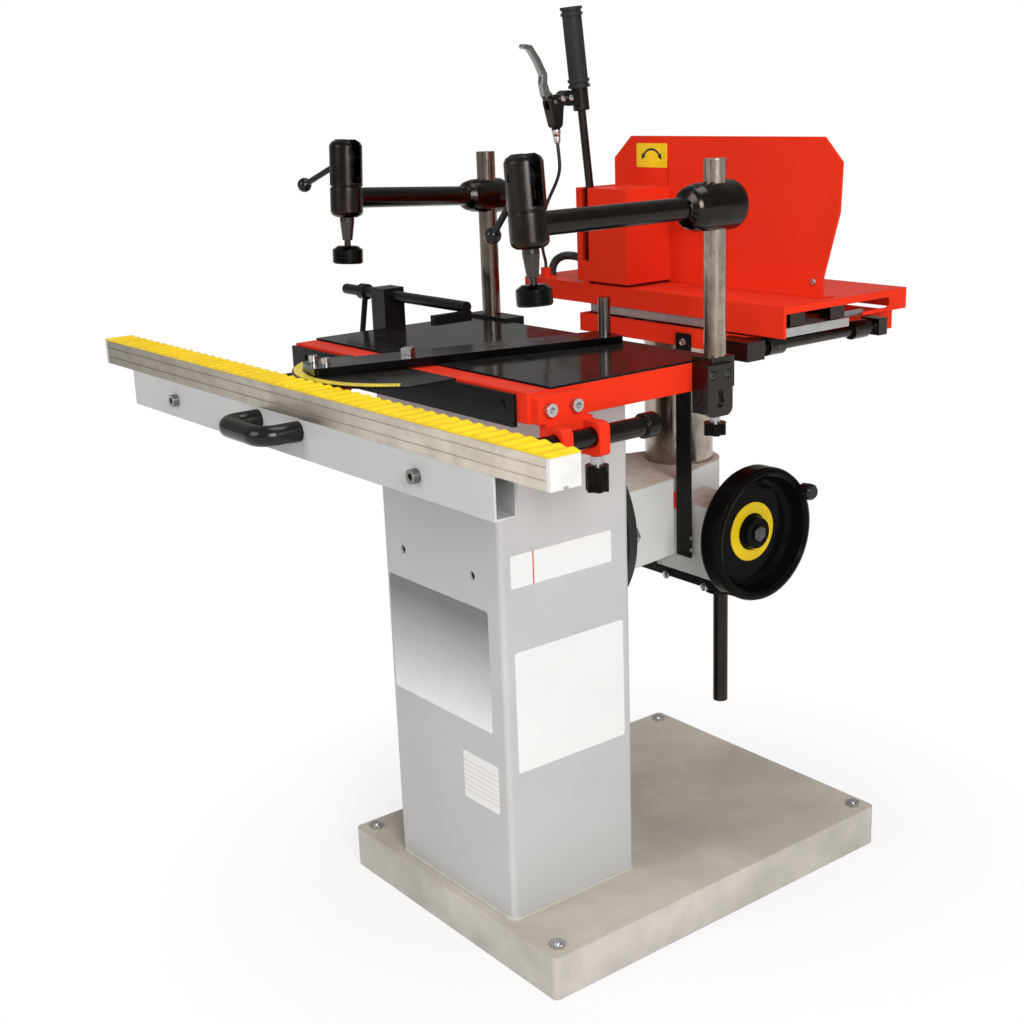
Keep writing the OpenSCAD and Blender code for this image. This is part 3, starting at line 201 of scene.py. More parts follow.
def edge_mask(tree, radius):
    """How sharply the surface turns near a point, from 0 on a flat face to 1 on a corner."""
    round_normal = add(tree, "ShaderNodeBevel", {"samples": 4}, Radius=radius).outputs[0]
    flat_normal = tree.nodes.new("ShaderNodeNewGeometry").outputs["Normal"]
    dot = add(tree, "ShaderNodeVectorMath", {"operation": "DOT_PRODUCT"}, [round_normal, flat_normal])
    return ramp(tree, dot.outputs["Value"], low=0.985, high=0.80)


def worn_paint_group():
    """Paint that is patchy, a little dusty on top and rubbed thin along its edges."""
    tree, given, out = group_tree(
        "Worn paint",
        [("Paint", "c", (0.5, 0.5, 0.5, 1)), ("Bare", "c", (0.3, 0.3, 0.3, 1)), ("Dust", "f", 0.2),
         ("Wear", "f", 0.5), ("Gloss", "f", 0.35), ("Patches", "f", 3.0)],
        [("Color", "c"), ("Roughness", "f"), ("Height", "f")])
    dust_tone = (0.50, 0.44, 0.33, 1)
    point = object_point(tree)
    cloud = noise(tree, point, given["Patches"], detail=4.0)
    fine = noise(tree, point, scale=60.0, detail=5.0, rough=0.65)
    patchy = shaded(tree, given["Paint"], ramp(tree, cloud, 0.25, 0.75, low_to=0.90, high_to=1.06))
    normal = tree.nodes.new("ShaderNodeNewGeometry").outputs["Normal"]
    up = add(tree, "ShaderNodeSeparateXYZ", None, [normal]).outputs["Z"]
    top = ramp(tree, up, low=0.5, high=0.95)
    dust = product(tree, top, given["Dust"], ramp(tree, fine, 0.3, 0.75))
    dusty = mix_colour(tree, dust, patchy, dust_tone)
    spots = ramp(tree, noise(tree, point, scale=140.0, detail=4.0, rough=0.7), 0.42, 0.60)
    rubbed = product(tree, edge_mask(tree, radius=0.0012), spots, given["Wear"])
    tree.links.new(mix_colour(tree, rubbed, dusty, given["Bare"]), out["Color"])
    rough = math_node(tree, "ADD", given["Gloss"], ramp(tree, fine, 0.3, 0.7, low_to=-0.04, high_to=0.08))
    dull = product(tree, dust, 0.35)
    tree.links.new(math_node(tree, "ADD", rough, dull, clamp=True), out["Roughness"])
    peel = noise(tree, point, scale=420.0, detail=2.0)
    tree.links.new(peel, out["Height"])
    return tree


def bare_metal_group():
    """Machined metal with drawn lines along one way, darker stains and a duller sheen in them."""
    tree, given, out = group_tree(
        "Bare metal",
        [("Metal", "c", (0.6, 0.6, 0.6, 1)), ("Stain", "c", (0.2, 0.15, 0.1, 1)), ("Stains", "f", 0.3),
         ("Gloss", "f", 0.3), ("Lines", "v", (60, 60, 600))],
        [("Color", "c"), ("Roughness", "f"), ("Height", "f")])
    point = object_point(tree)
    drawn_grain_and_painted_light = add(tree, "ShaderNodeVectorMath", {"operation": "MULTIPLY"}, [point, given["Lines"]])
    lines = noise(tree, drawn_grain_and_painted_light.outputs[0], scale=1.0, detail=3.0, rough=0.6)
    blotch = noise(tree, point, scale=26.0, detail=5.0, rough=0.65)
    stained = product(tree, ramp(tree, blotch, 0.42, 0.72), given["Stains"])
    lined = shaded(tree, given["Metal"], ramp(tree, lines, 0.25, 0.75, low_to=0.86, high_to=1.08))
    tree.links.new(mix_colour(tree, stained, lined, given["Stain"]), out["Color"])
    rough = math_node(tree, "ADD", given["Gloss"], ramp(tree, lines, 0.3, 0.7, low_to=-0.05, high_to=0.10))
    dull = product(tree, stained, 0.3)
    tree.links.new(math_node(tree, "ADD", rough, dull, clamp=True), out["Roughness"])
    tree.links.new(lines, out["Height"])
    return tree


def moulded_group():
    """Moulded plastic or rubber with a fine skin and paler rubbed edges."""
    tree, given, out = group_tree(
        "Moulded skin",
        [("Body", "c", (0.02, 0.02, 0.02, 1)), ("Gloss", "f", 0.3), ("Rub", "f", 0.3),
         ("Grain", "f", 500.0)],
        [("Color", "c"), ("Roughness", "f"), ("Height", "f")])
    rub_tone = (0.5, 0.5, 0.5, 1)
    point = object_point(tree)
    skin = noise(tree, point, given["Grain"], detail=3.0)
    patch = noise(tree, point, scale=18.0, detail=4.0)
    patchy = shaded(tree, given["Body"], ramp(tree, patch, 0.3, 0.7, low_to=0.88, high_to=1.10))
    rub = product(tree, edge_mask(tree, radius=0.0015), given["Rub"])
    paler = mix_colour(tree, 0.25, patchy, rub_tone)
    tree.links.new(mix_colour(tree, rub, patchy, paler), out["Color"])
    rough = math_node(tree, "ADD", given["Gloss"], ramp(tree, patch, 0.3, 0.7, low_to=-0.05, high_to=0.07))
    tree.links.new(rough, out["Roughness"])
    tree.links.new(skin, out["Height"])
    return tree


GROUPS = {}


def shared_group(name):
    makers = {"Worn paint": worn_paint_group, "Bare metal": bare_metal_group, "Moulded skin": moulded_group}
    if name not in GROUPS:
        GROUPS[name] = makers[name]()
    return GROUPS[name]


def skin_material(name, group, bump, edge, values, **shader):
    """A material whose colour, roughness and bump come from one of the shared groups."""
    made = bpy.data.materials.new(name)
    made.use_nodes = True
    tree = made.node_tree
    tree.nodes.clear()
    out = tree.nodes.new("ShaderNodeOutputMaterial")
    bsdf = add(tree, "ShaderNodeBsdfPrincipled", None, None, **shader)
    tree.links.new(bsdf.outputs[0], out.inputs[0])
    skin = tree.nodes.new("ShaderNodeGroup")
    skin.node_tree = shared_group(group)
    for key, value in values.items():
        if callable(value):
            tree.links.new(value(tree), skin.inputs[key])
        else:
            skin.inputs[key].default_value = value
    tree.links.new(skin.outputs["Color"], bsdf.inputs["Base Color"])
    tree.links.new(skin.outputs["Roughness"], bsdf.inputs["Roughness"])
    rounded = add(tree, "ShaderNodeBevel", {"samples": 4}, Radius=edge).outputs[0]
    bumped = add(tree, "ShaderNodeBump", None, None, Strength=bump, Distance=0.0004,
                 Height=skin.outputs["Height"], Normal=rounded)
    tree.links.new(bumped.outputs[0], bsdf.inputs["Normal"])
    return made


def by_place(axis, low, high, below, above):
    """A colour that changes from one tone to another between two places along an axis."""
    def made(tree):
        share = ramp(tree, coordinate(tree, axis), low, high)
        return mix_colour(tree, share, rgba(below), rgba(above))
    return made


def split_at(axis, place, below, above, blur=0.0004):
    """Two tones that meet at a place along an axis."""
    return by_place(axis, place, place + blur, below, above)


def mottled(tone, scale, low, high):
    """A colour that clouds over between a darker and a paler shade of itself."""
    def made(tree):
        cloud = noise(tree, object_point(tree), scale, detail=6.0, rough=0.62)
        return mix_colour(tree, ramp(tree, cloud, 0.30, 0.70), rgba(tone, low), rgba(tone, high))
    return made


def ruled_ground(axis, step, share, ground, line, reach):
    """A ground colour crossed by even lines between two places along an axis."""
    def made(tree):
        place = coordinate(tree, axis)
        inside = product(tree, math_node(tree, "GREATER_THAN", place, reach[0]),
                         math_node(tree, "LESS_THAN", place, reach[1]))
        count = math_node(tree, "DIVIDE", math_node(tree, "SUBTRACT", place, reach[0]), step)
        near = math_node(tree, "LESS_THAN", math_node(tree, "FRACT", count), share)
        return mix_colour(tree, product(tree, near, inside), rgba(ground), rgba(line))
    return made


def engraved_arc(ground, line, centre, step, share):
    """A ground colour crossed by dark lines, a step of some degrees apart, about an upright pivot."""
    def made(tree):
        across = math_node(tree, "SUBTRACT", coordinate(tree, "X"), centre[0])
        along = math_node(tree, "SUBTRACT", coordinate(tree, "Y"), centre[1])
        turn = math_node(tree, "ARCTAN2", along, across)
        count = math_node(tree, "DIVIDE", turn, math.radians(step))
        near = math_node(tree, "LESS_THAN", math_node(tree, "FRACT", count), share)
        return mix_colour(tree, near, rgba(ground), rgba(line))
    return made


def tint(tone):
    return tone if callable(tone) else rgba(tone)


def paint(name, tone, gloss=0.35, dust=0.15, wear=0.45, bare=(0.30, 0.29, 0.28), bump=0.08, edge=0.0015,
          patches=3.0, **shader):
    """Worn paint of one tone, or of a tone that is worked out from the place."""
    values = {"Paint": tint(tone), "Bare": rgba(bare), "Dust": dust, "Wear": wear, "Gloss": gloss,
              "Patches": patches}
    return skin_material(name, "Worn paint", bump, edge, values, **shader)


def metal(name, tone, gloss=0.3, stains=0.3, stain=(0.10, 0.07, 0.045), lines=(60, 60, 600), bump=0.08,
          edge=0.001, **shader):
    """Bare or blackened metal, with its drawn lines closest along the axis with the largest number."""
    values = {"Metal": tint(tone), "Stain": rgba(stain), "Stains": stains, "Gloss": gloss, "Lines": lines}
    return skin_material(name, "Bare metal", bump, edge, values, Metallic=1.0, **shader)


def moulded(name, tone, gloss=0.3, rub=0.25, grain=500.0, bump=0.06, edge=0.0015, **shader):
    """Plastic or rubber as it comes out of a mould."""
    values = {"Body": tint(tone), "Gloss": gloss, "Rub": rub, "Grain": grain}
    return skin_material(name, "Moulded skin", bump, edge, values, **shader)


def dress(material, *names):
    """Gives nodes of the frame their material."""
    for name in names:
        NODES[name].data.materials.clear()
        NODES[name].data.materials.append(material)


# Mesh helpers


def finish_piece(name, bm, material, body, smooth=35.0):
    """Turns a bmesh into an object at the origin that rides on a body of the machine."""
    bmesh.ops.remove_doubles(bm, verts=bm.verts, dist=1e-7)
    bmesh.ops.recalc_face_normals(bm, faces=bm.faces)
    mesh = bpy.data.meshes.new(name)
    bm.to_mesh(mesh)
    bm.free()
    mesh.materials.append(material)
    place_mesh(name, mesh, body, smooth)


def place_mesh(name, mesh, body, smooth, replaces=()):
    """Makes an object of a mesh, sharp where its faces meet at more than some degrees."""
    made = bpy.data.objects.new(name, mesh)
    bpy.context.scene.collection.objects.link(made)
    mesh.shade_smooth()
    mesh.set_sharp_from_angle(angle=math.radians(smooth))
    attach(made, body)
    if replaces:
        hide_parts(*replaces)
    return made


def turned_to(axis, point):
    """Places a shape that was made along +Z at a point, along an axis."""
    return Matrix.Translation(point) @ Vector(axis).to_track_quat("Z", "Y").to_matrix().to_4x4()


def round_edges(bm, edges, offset, segments=2):
    """Rounds edges off and gives back the faces that this makes."""
    made = bmesh.ops.bevel(bm, geom=edges, offset=offset, offset_type="OFFSET", segments=segments,
                           profile=0.5, affect="EDGES", material=-1)
    return made["faces"]


def upright_prism(bm, sides, radius, height):
    """A prism that stands on the XY plane."""
    verts = bmesh.ops.create_cone(bm, cap_ends=True, segments=sides, radius1=radius, radius2=radius,
                                  depth=height)["verts"]
    bmesh.ops.translate(bm, verts=verts, vec=(0, 0, height / 2))
    return verts


def socket_screw(bm, point, axis, radius, height):
    """A cap screw's head with a rounded rim and a six-sided socket, seated at a point."""
    socket = 6
    hole_radius, lip_radius = radius * 0.5, radius * 0.52
    lip_height, clear = height * 0.06, 1e-5
    verts = upright_prism(bm, sides=20, radius=radius, height=height)
    top = next(f for f in bm.faces if all(v in verts for v in f.verts) and f.normal.z > 0.9)
    rim = round_edges(bm, list(top.edges), offset=radius * 0.15)
    head = list({v for f in rim for v in f.verts} | {v for v in verts if v.is_valid})
    hole = bmesh.ops.create_circle(bm, cap_ends=True, segments=socket, radius=hole_radius,
                                   matrix=Matrix.Translation((0, 0, height + clear)))["verts"]
    lip = bmesh.ops.create_cone(bm, cap_ends=False, segments=socket, radius1=lip_radius,
                                radius2=hole_radius, depth=lip_height)["verts"]
    bmesh.ops.translate(bm, verts=lip, vec=(0, 0, height))
    bmesh.ops.transform(bm, matrix=turned_to(axis, point), verts=head + hole + lip)


def hex_nut(bm, point, axis, radius, height):
    """A six-sided head with its top rim rounded off."""
    verts = upright_prism(bm, sides=6, radius=radius, height=height)
    edges = {e for v in verts for e in v.link_edges}
    top = [e for e in edges if all(v.co.z > height * 0.9 for v in e.verts)]
    rim = round_edges(bm, top, offset=radius * 0.12)
    head = list({v for f in rim for v in f.verts} | {v for v in verts if v.is_valid})
    bmesh.ops.transform(bm, matrix=turned_to(axis, point), verts=head)


def turned(bm, outline, steps=24):
    """An outline of radius and height, turned about the Z axis."""
    verts = [bm.verts.new((radius, 0, height)) for radius, height in outline]
    edges = [bm.edges.new(pair) for pair in zip(verts, verts[1:])]
    bmesh.ops.spin(bm, geom=verts + edges, cent=(0, 0, 0), axis=(0, 0, 1), angle=2 * math.pi, steps=steps,
                   use_merge=True)
    bmesh.ops.remove_doubles(bm, verts=bm.verts, dist=1e-6)


def thin_plate(bm, centre, out, width, height, thick, corner):
    """A thin plate with round corners that lies on an upright face."""
    verts = bmesh.ops.create_cube(bm, size=1.0)["verts"]
    bmesh.ops.scale(bm, verts=verts, vec=(width, height, thick))
    edges = {e for v in verts for e in v.link_edges}
    upright = [e for e in edges if abs(e.verts[0].co.z - e.verts[1].co.z) > thick / 2]
    round_edges(bm, upright, offset=corner, segments=4)
    rim = [e for e in bm.edges if all(v.co.z > thick * 0.4 for v in e.verts)]
    round_edges(bm, rim, offset=thick * 0.3)
    across = Z_AXIS.cross(out)
    turn = Matrix((across, Z_AXIS, out)).transposed().to_4x4()
    bmesh.ops.transform(bm, matrix=Matrix.Translation(centre + out * thick / 2) @ turn, verts=bm.verts)


def curved_arrow(bm, centre, radius, width, thick):
    """A bent arrow with two heads, on a face that looks along -Y."""
    half = width / 2
    wing, tip = 3 * half, 5.5 * half
    first, sweep = math.radians(142), math.radians(104)
    reach = (radius - half, radius + half)
    line = [bm.verts.new((r * math.cos(first), 0, r * math.sin(first))) for r in reach]
    edge = bm.edges.new(line)
    bmesh.ops.spin(bm, geom=[*line, edge], cent=(0, 0, 0), axis=(0, 1, 0), angle=sweep, steps=14)
    for turn, way in ((first, -1), (first - sweep, 1)):
        out = Vector((math.cos(turn), 0, math.sin(turn)))
        ahead = Vector((math.sin(turn), 0, -math.cos(turn))) * way
        corners = (out * (radius - wing), out * (radius + wing), out * radius + ahead * tip)
        bm.faces.new([bm.verts.new(corner) for corner in corners])
    bmesh.ops.recalc_face_normals(bm, faces=bm.faces)
    raised = bmesh.ops.extrude_face_region(bm, geom=list(bm.faces))["geom"]
    lifted = [item for item in raised if isinstance(item, bmesh.types.BMVert)]
    bmesh.ops.translate(bm, verts=lifted, vec=(0, -thick, 0))
    bmesh.ops.translate(bm, verts=bm.verts, vec=centre)


def tube_mesh(name, points, radius, material, sides, closed=False, swell=0.0):
    """A round tube through points, as a mesh in place, uneven in width where it swells."""
    data = bpy.data.curves.new(name, "CURVE")
    data.dimensions = "3D"
    data.bevel_depth = radius
    data.bevel_resolution = max(1, sides // 2 - 2)
    data.use_fill_caps = True
    spline = data.splines.new("POLY")
    spline.points.add(len(points) - 1)
    for step, (spot, place) in enumerate(zip(spline.points, points)):
        spot.co = (*place, 1)
        spot.radius = 1 + swell * (math.sin(2.4 * step) + 0.6 * math.sin(0.9 * step))
    spline.use_cyclic_u = closed
    made = bpy.data.objects.new(name + "_line", data)
    bpy.context.scene.collection.objects.link(made)
    bpy.context.view_layer.update()
    mesh = bpy.data.meshes.new_from_object(made.evaluated_get(bpy.context.evaluated_depsgraph_get()))
    bpy.data.objects.remove(made)
    mesh.name = name
    mesh.materials.clear()
    mesh.materials.append(material)
    return mesh


def smooth_path(points, each=6):
    """A soft curve through points."""
    ends = [points[0] * 2 - points[1], *points, points[-1] * 2 - points[-2]]
    path = []
    for a, b, c, d in zip(ends, ends[1:], ends[2:], ends[3:]):
        for step in range(each):
            t = step / each
            path.append(0.5 * (2 * b + (c - a) * t + (2 * a - 5 * b + 4 * c - d) * t * t +
                               (3 * b - a - 3 * c + d) * t ** 3))
    return path + [points[-1]]


def eased(path, rounds):
    """The same path with its kinks drawn out and both its ends where they were."""
    for _ in range(rounds):
        middle = [(a + 2 * b + c) / 4 for a, b, c in zip(path, path[1:], path[2:])]
        path = [path[0], path[1], *middle[1:-1], path[-2], path[-1]]
    return path


def box_middle(node):
    """The middle of a node's box."""
    low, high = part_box(node)
    return (low + high) / 2


def on_lever(fore, up):
    """A step from the lever's pivot, measured square to the leaning lever and up along it."""
    cos, sin = math.cos(LEVER_LEAN), math.sin(LEVER_LEAN)
    return Vector((0, fore * cos - up * sin, fore * sin + up * cos))


# Cords


def run_brake_cable(rubber):
    """The cable from the brake's barrel down to its gland on the tray."""
    straight, rounds = 0.020, 10
    barrel_gap, gland_gap = 0.0003, 0.0002
    tip = on_lever(BARREL_FORE, BARREL_FOOT)
    way = on_lever(0, -1)
    gland = Vector((-0.117, -0.008, -0.004))
    # How much of the way to the gland is done along X, Y and Z at each point
    shares = ((0.03, 0.09, 0.20), (0.16, 0.16, 0.30), (0.36, 0.25, 0.41), (0.60, 0.42, 0.54),
              (0.82, 0.64, 0.71), (0.95, 0.84, 0.85), (1, 1, 0.95))
    route = [tip + way * barrel_gap, tip + way * straight]
    route += [Vector(tip[i] + share[i] * (gland[i] - tip[i]) for i in range(3)) for share in shares]
    route.append(gland + Vector((0, 0, gland_gap)))
    path = eased(smooth_path([LEVER_PIVOT + point for point in route]), rounds)
    diameter = sizes().cable_diameter
    mesh = tube_mesh("brake_cable_sleeve", path, diameter / 2, rubber, sides=12)
    cable = bpy.data.objects.new("brake_cable_sleeve", mesh)
    bpy.context.scene.collection.objects.link(cable)
    mesh.shade_smooth()
    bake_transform(cable)
    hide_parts("brake_cable")


def run_conduit(rubber):
    """The ribbed conduit that arches from the tray into the lever box."""
    fore, groove = 0.018, 0.84
    # Places along X and Z, measured from the lever's pivot
    route = ((-0.132, -0.0178), (-0.132, -0.008), (-0.123, 0.004), (-0.105, 0.012), (-0.082, 0.014),
             (-0.055, 0.011), (-0.035, 0.004), (-0.0192, 0.004))
    path = smooth_path([LEVER_PIVOT + Vector((across, fore, up)) for across, up in route], each=16)
    diameter = sizes().conduit_diameter
    mesh = tube_mesh("conduit_hose", path, diameter / 2, rubber, sides=12)
    for vert in mesh.vertices:
        nearest = min(range(len(path)), key=lambda i: (path[i] - vert.co).length_squared)
        if nearest % 2:
            vert.co = path[nearest] + (vert.co - path[nearest]) * groove
    hose = place_mesh("conduit_hose", mesh, "head", smooth=60, replaces=("conduit",))


# Plates


def fix_plate(name, ground, centre, out, width, height, gloss):
    """A bare plate on the column."""
    skin = paint(name + "_face", ground, gloss=gloss, dust=0.0, wear=0.2, bump=0.03, edge=0.0004,
                 patches=2.0, Specular_IOR_Level=0.35)
    bm = bmesh.new()
    thin_plate(bm, Vector(centre), out, width, height, sizes().plate_thickness, corner=0.004)
    finish_piece(name, bm, skin, "frame", smooth=10)


def fix_column_plates():
    """Two plates on the column's front and two on its side, plain, ruled or shaded."""
    ground = colours().plate
    dark_top, rule_tone, bar_red = (0.16, 0.155, 0.15), (0.62, 0.50, 0.44), (0.62, 0.05, 0.02)
    low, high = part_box("column")
    front, side = low[1], high[0]
    fading = by_place("Z", low=0.345, high=0.50, below=ground, above=dark_top)
    ruled = ruled_ground("Z", step=0.0075, share=0.20, ground=ground, line=rule_tone, reach=(0.232, 0.280))
    barred = ruled_ground("Y", step=0.190, share=0.012, ground=ground, line=bar_red, reach=(-0.260, -0.245))
    fix_plate("front_plate", fading, (-0.011, front, 0.427), -Y_AXIS, width=0.237, height=0.176, gloss=0.30)
    fix_plate("front_note", ruled, (0.076, front, 0.256), -Y_AXIS, width=0.081, height=0.072, gloss=0.40)
    fix_plate("side_note", barred, (side, -0.209, 0.574), X_AXIS, width=0.176, height=0.046, gloss=0.35)
    fix_plate("side_plate", ground, (side, -0.1985, 0.373), X_AXIS, width=0.193, height=0.176, gloss=0.35)


def fix_arrow_plate():
    """A yellow plate with a bent arrow on the guard, which shows that the spindle turns."""
    thick = sizes().plate_thickness
    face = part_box("guard_panel")[0][1]
    centre = Vector((-0.045, face, 1.082))
    arrow_drop = 0.012
    yellow = moulded("arrow_plate_face", colours().yellow, gloss=0.35, grain=900.0, bump=0.03, edge=0.0004)
    bm = bmesh.new()
    thin_plate(bm, centre, -Y_AXIS, width=0.066, height=0.035, thick=thick, corner=0.002)
    finish_piece("arrow_plate", bm, yellow, "head", smooth=10)
    ink = moulded("arrow_black", (0.012, 0.012, 0.012), gloss=0.4, edge=0.0002)
    bm = bmesh.new()
    curved_arrow(bm, centre + Vector((0, -thick, -arrow_drop)), radius=0.021, width=0.0032, thick=thick / 3)
    finish_piece("turn_arrow", bm, ink, "head")


# Fasteners


def fit_bracket_screws(dark):
    """Two cap screws in the right post bracket."""
    step_back, drop = 0.005, 0.020
    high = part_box("post_bracket_right")[1]
    bm = bmesh.new()
    for along in (-0.098, -0.072):
        socket_screw(bm, (high[0] - step_back, along, high[2] - drop), X_AXIS, radius=0.0052, height=0.0046)
    finish_piece("post_bracket_screws", bm, dark, "frame")


def fit_hub_nut(dark):
    """The nut on the handwheel's hub."""
    hub_face = 0.218
    centre = box_middle("handwheel")
    bm = bmesh.new()
    hex_nut(bm, (hub_face, centre[1], centre[2]), X_AXIS, radius=0.0125, height=0.004)
    finish_piece("wheel_hub_nut", bm, dark, "wheel")


def fit_brake_screws(bright):
    """Two cap screws in the brake's clamp on the lever."""
    clamp_half = Vector((0.009, 0, 0))
    bm = bmesh.new()
    for fore, up in ((-0.0270, 0.2570), (-0.0420, 0.2580)):
        place = LEVER_PIVOT + clamp_half + on_lever(fore, up)
        socket_screw(bm, place, X_AXIS, radius=0.0042, height=0.0036)
    finish_piece("brake_screws", bm, bright, "lever")


def fit_cable_ferrule(bright):
    """The stepped ferrule where the brake cable leaves its barrel."""
    # Radius and height above the barrel's foot
    outline = ((0, -0.0001), (0.0041, -0.0001), (0.0046, 0.002), (0.0053, 0.0085), (0.0048, 0.0095),
               (0.0058, 0.0110), (0.0066, 0.0180), (0.0060, 0.0195), (0, 0.0195))
    bm = bmesh.new()
    turned(bm, outline)
    lever = Matrix.Translation(LEVER_PIVOT) @ Matrix.Rotation(LEVER_LEAN, 4, "X")
    seat = Matrix.Translation((0, BARREL_FORE, BARREL_FOOT))
    bmesh.ops.transform(bm, matrix=lever @ seat, verts=bm.verts)
    finish_piece("cable_ferrule", bm, bright, "lever")


def fit_scale_rivets(bright):
    """Two rivets at the foot of the height scale and a nut at its top."""
    nut_inset = 0.012
    low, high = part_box("height_scale")
    bm = bmesh.new()
    for up in (0.012, 0.030):
        place = (high[0], (low[1] + high[1]) / 2, low[2] + up)
        socket_screw(bm, place, X_AXIS, radius=0.0028, height=0.0012)
    hex_nut(bm, (high[0] - nut_inset, low[1], high[2] - nut_inset), -Y_AXIS, radius=0.0055, height=0.004)
    finish_piece("height_scale_rivets", bm, bright, "lift")


def fit_nut_plate_bolts(bright):
    """Two bolts in the front edge of the nut plate."""
    low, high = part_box("nut_plate")
    bm = bmesh.new()
    for inset in (0.030, 0.110):
        place = (high[0] - inset, low[1], (low[2] + high[2]) / 2)
        hex_nut(bm, place, -Y_AXIS, radius=0.0065, height=0.0045)
    finish_piece("nut_plate_bolts", bm, bright, "lift")


def fit_guard_screw(bright):
    """The screw in the lower corner of the guard."""
    across, up = 0.2727, 0.9197
    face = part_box("guard_panel")[0][1]
    bm = bmesh.new()
    socket_screw(bm, (across, face, up), -Y_AXIS, radius=0.0045, height=0.0026)
    finish_piece("guard_screw", bm, bright, "head")


def fit_collar_screws(dark):
    """A set screw in each stop collar."""
    for collar in ("collar_front", "collar_rear"):
        centre = box_middle("stop_" + collar)
        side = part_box("stop_" + collar)[1][0]
        bm = bmesh.new()
        socket_screw(bm, (side, centre[1], centre[2]), X_AXIS, radius=0.0028, height=0.0008)
        finish_piece(collar + "_screw", bm, dark, collar)


def fit_fan_rings():
    """Raised rings on the end of the motor's fan cover."""
    foot, crest, rise = 0.0026, 0.0020, 0.0018
    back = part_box("motor")[1][1]
    bm = bmesh.new()
    for radius in (0.015, 0.025, 0.035, 0.045, 0.055):
        turned(bm, ((radius - foot, 0), (radius - crest, rise), (radius + crest, rise), (radius + foot, 0),
                    (radius - foot, 0)), steps=48)
    centre = (box_middle("motor")[0], back, box_middle("chuck")[2])
    bmesh.ops.transform(bm, matrix=turned_to(Y_AXIS, centre), verts=bm.verts)
    finish_piece("fan_cover_rings", bm, NODES["motor"].data.materials[0], "head")


# Stage


def set_floor(scene):
    """A white floor that keeps a soft shadow near the machine and fades to pure white."""
    drop = 0.0005
    bm = bmesh.new()
    bmesh.ops.create_grid(bm, x_segments=1, y_segments=1, size=sizes().floor_size / 2)
    bmesh.ops.translate(bm, verts=bm.verts, vec=(0, 0, -drop))
    mesh = bpy.data.meshes.new("floor")
    bm.to_mesh(mesh)
    bm.free()
    floor = bpy.data.objects.new("floor", mesh)
    scene.collection.objects.link(floor)
    made = bpy.data.materials.new("floor_white")
    made.use_nodes = True
    tree = made.node_tree
    tree.nodes.clear()
    out = tree.nodes.new("ShaderNodeOutputMaterial")
    matt = add(tree, "ShaderNodeBsdfDiffuse", Color=(0.86, 0.86, 0.86, 1))
    glow = add(tree, "ShaderNodeEmission", Color=(1, 1, 1, 1), Strength=1.0)
    rays = tree.nodes.new("ShaderNodeLightPath").outputs
    seen = math_node(tree, "MAXIMUM", rays["Is Camera Ray"], rays["Is Glossy Ray"])
    away = add(tree, "ShaderNodeVectorMath", {"operation": "LENGTH"}, [object_point(tree)]).outputs["Value"]
    fade = ramp(tree, away, 0.3, 0.75, low_to=0.66, high_to=1.0)
    share = product(tree, seen, fade)
    mixed = add(tree, "ShaderNodeMixShader", None, [share, matt.outputs[0], glow.outputs[0]])
    tree.links.new(mixed.outputs[0], out.inputs[0])
    mesh.materials.append(made)


def set_world(scene):
    """A white backdrop that lights the machine softly and is dim in reflections."""
    reflected = 0.06
    world = bpy.data.worlds.new("studio")
    scene.world = world
    world.use_nodes = True
    tree = world.node_tree
    tree.nodes.clear()
    out = tree.nodes.new("ShaderNodeOutputWorld")
    rays = tree.nodes.new("ShaderNodeLightPath").outputs
    seen = math_node(tree, "MAXIMUM", rays["Is Camera Ray"], rays["Is Transmission Ray"])
    seen = math_node(tree, "MAXIMUM", seen, product(tree, rays["Is Glossy Ray"], reflected))
    soft = add(tree, "ShaderNodeBackground", Color=(1.0, 0.99, 0.97, 1), Strength=0.30)
    white = add(tree, "ShaderNodeBackground", Color=(1, 1, 1, 1), Strength=1.0)
    both = add(tree, "ShaderNodeMixShader", None, [seen, soft.outputs[0], white.outputs[0]])
    tree.links.new(both.outputs[0], out.inputs[0])


def set_lamp(scene, name, place, size, watts):
    """A square lamp that looks at the middle of the machine."""
    target = Vector((0.0, -0.05, 0.65))
    data = bpy.data.lights.new(name, "AREA")
    data.size = size
    data.energy = watts
    lamp = bpy.data.objects.new(name, data)
    scene.collection.objects.link(lamp)
    lamp.matrix_world = turned_to(Vector(place) - target, Vector(place))


def set_camera(scene):
    """The camera at the place, turn and lens of the photograph."""
    place = (1.6113, -1.4055, 1.1850)
    azimuth, elevation, roll = math.radians(52.2), math.radians(16.0), math.radians(-2.0)
    data = bpy.data.cameras.new("camera")
    data.sensor_width = 36.0
    data.lens = 52.03
    data.shift_x = -0.0155
    camera = bpy.data.objects.new("camera", data)
    scene.collection.objects.link(camera)
    back = Vector((math.sin(azimuth) * math.cos(elevation), -math.cos(azimuth) * math.cos(elevation),
                   math.sin(elevation)))
    level = (-back).cross(Z_AXIS).normalized()
    upright = level.cross(-back)
    right = math.cos(roll) * level + math.sin(roll) * upright
    up = math.cos(roll) * upright - math.sin(roll) * level
    turn = Matrix((right, up, back)).transposed().to_4x4()
    camera.matrix_world = Matrix.Translation(place) @ turn
    scene.camera = camera


# Operators


class MORTISER_OT_add_stage(bpy.types.Operator):
    """Sets the floor, the soft lights and the camera"""
    bl_idname = "mortiser.add_stage"
    bl_label = "Set the stage"

    def execute(self, context):
        scene = context.scene
        set_floor(scene)
        set_world(scene)
        set_lamp(scene, "key_light", (2.9, -1.3, 2.0), size=1.3, watts=98.0)
        set_lamp(scene, "front_light", (-0.4, -3.2, 2.3), size=1.6, watts=40.0)
        set_lamp(scene, "top_light", (0.2, 0.4, 3.6), size=1.6, watts=34.0)
        set_camera(scene)
        scene.view_settings.view_transform = "Standard"
        return {"FINISHED"}


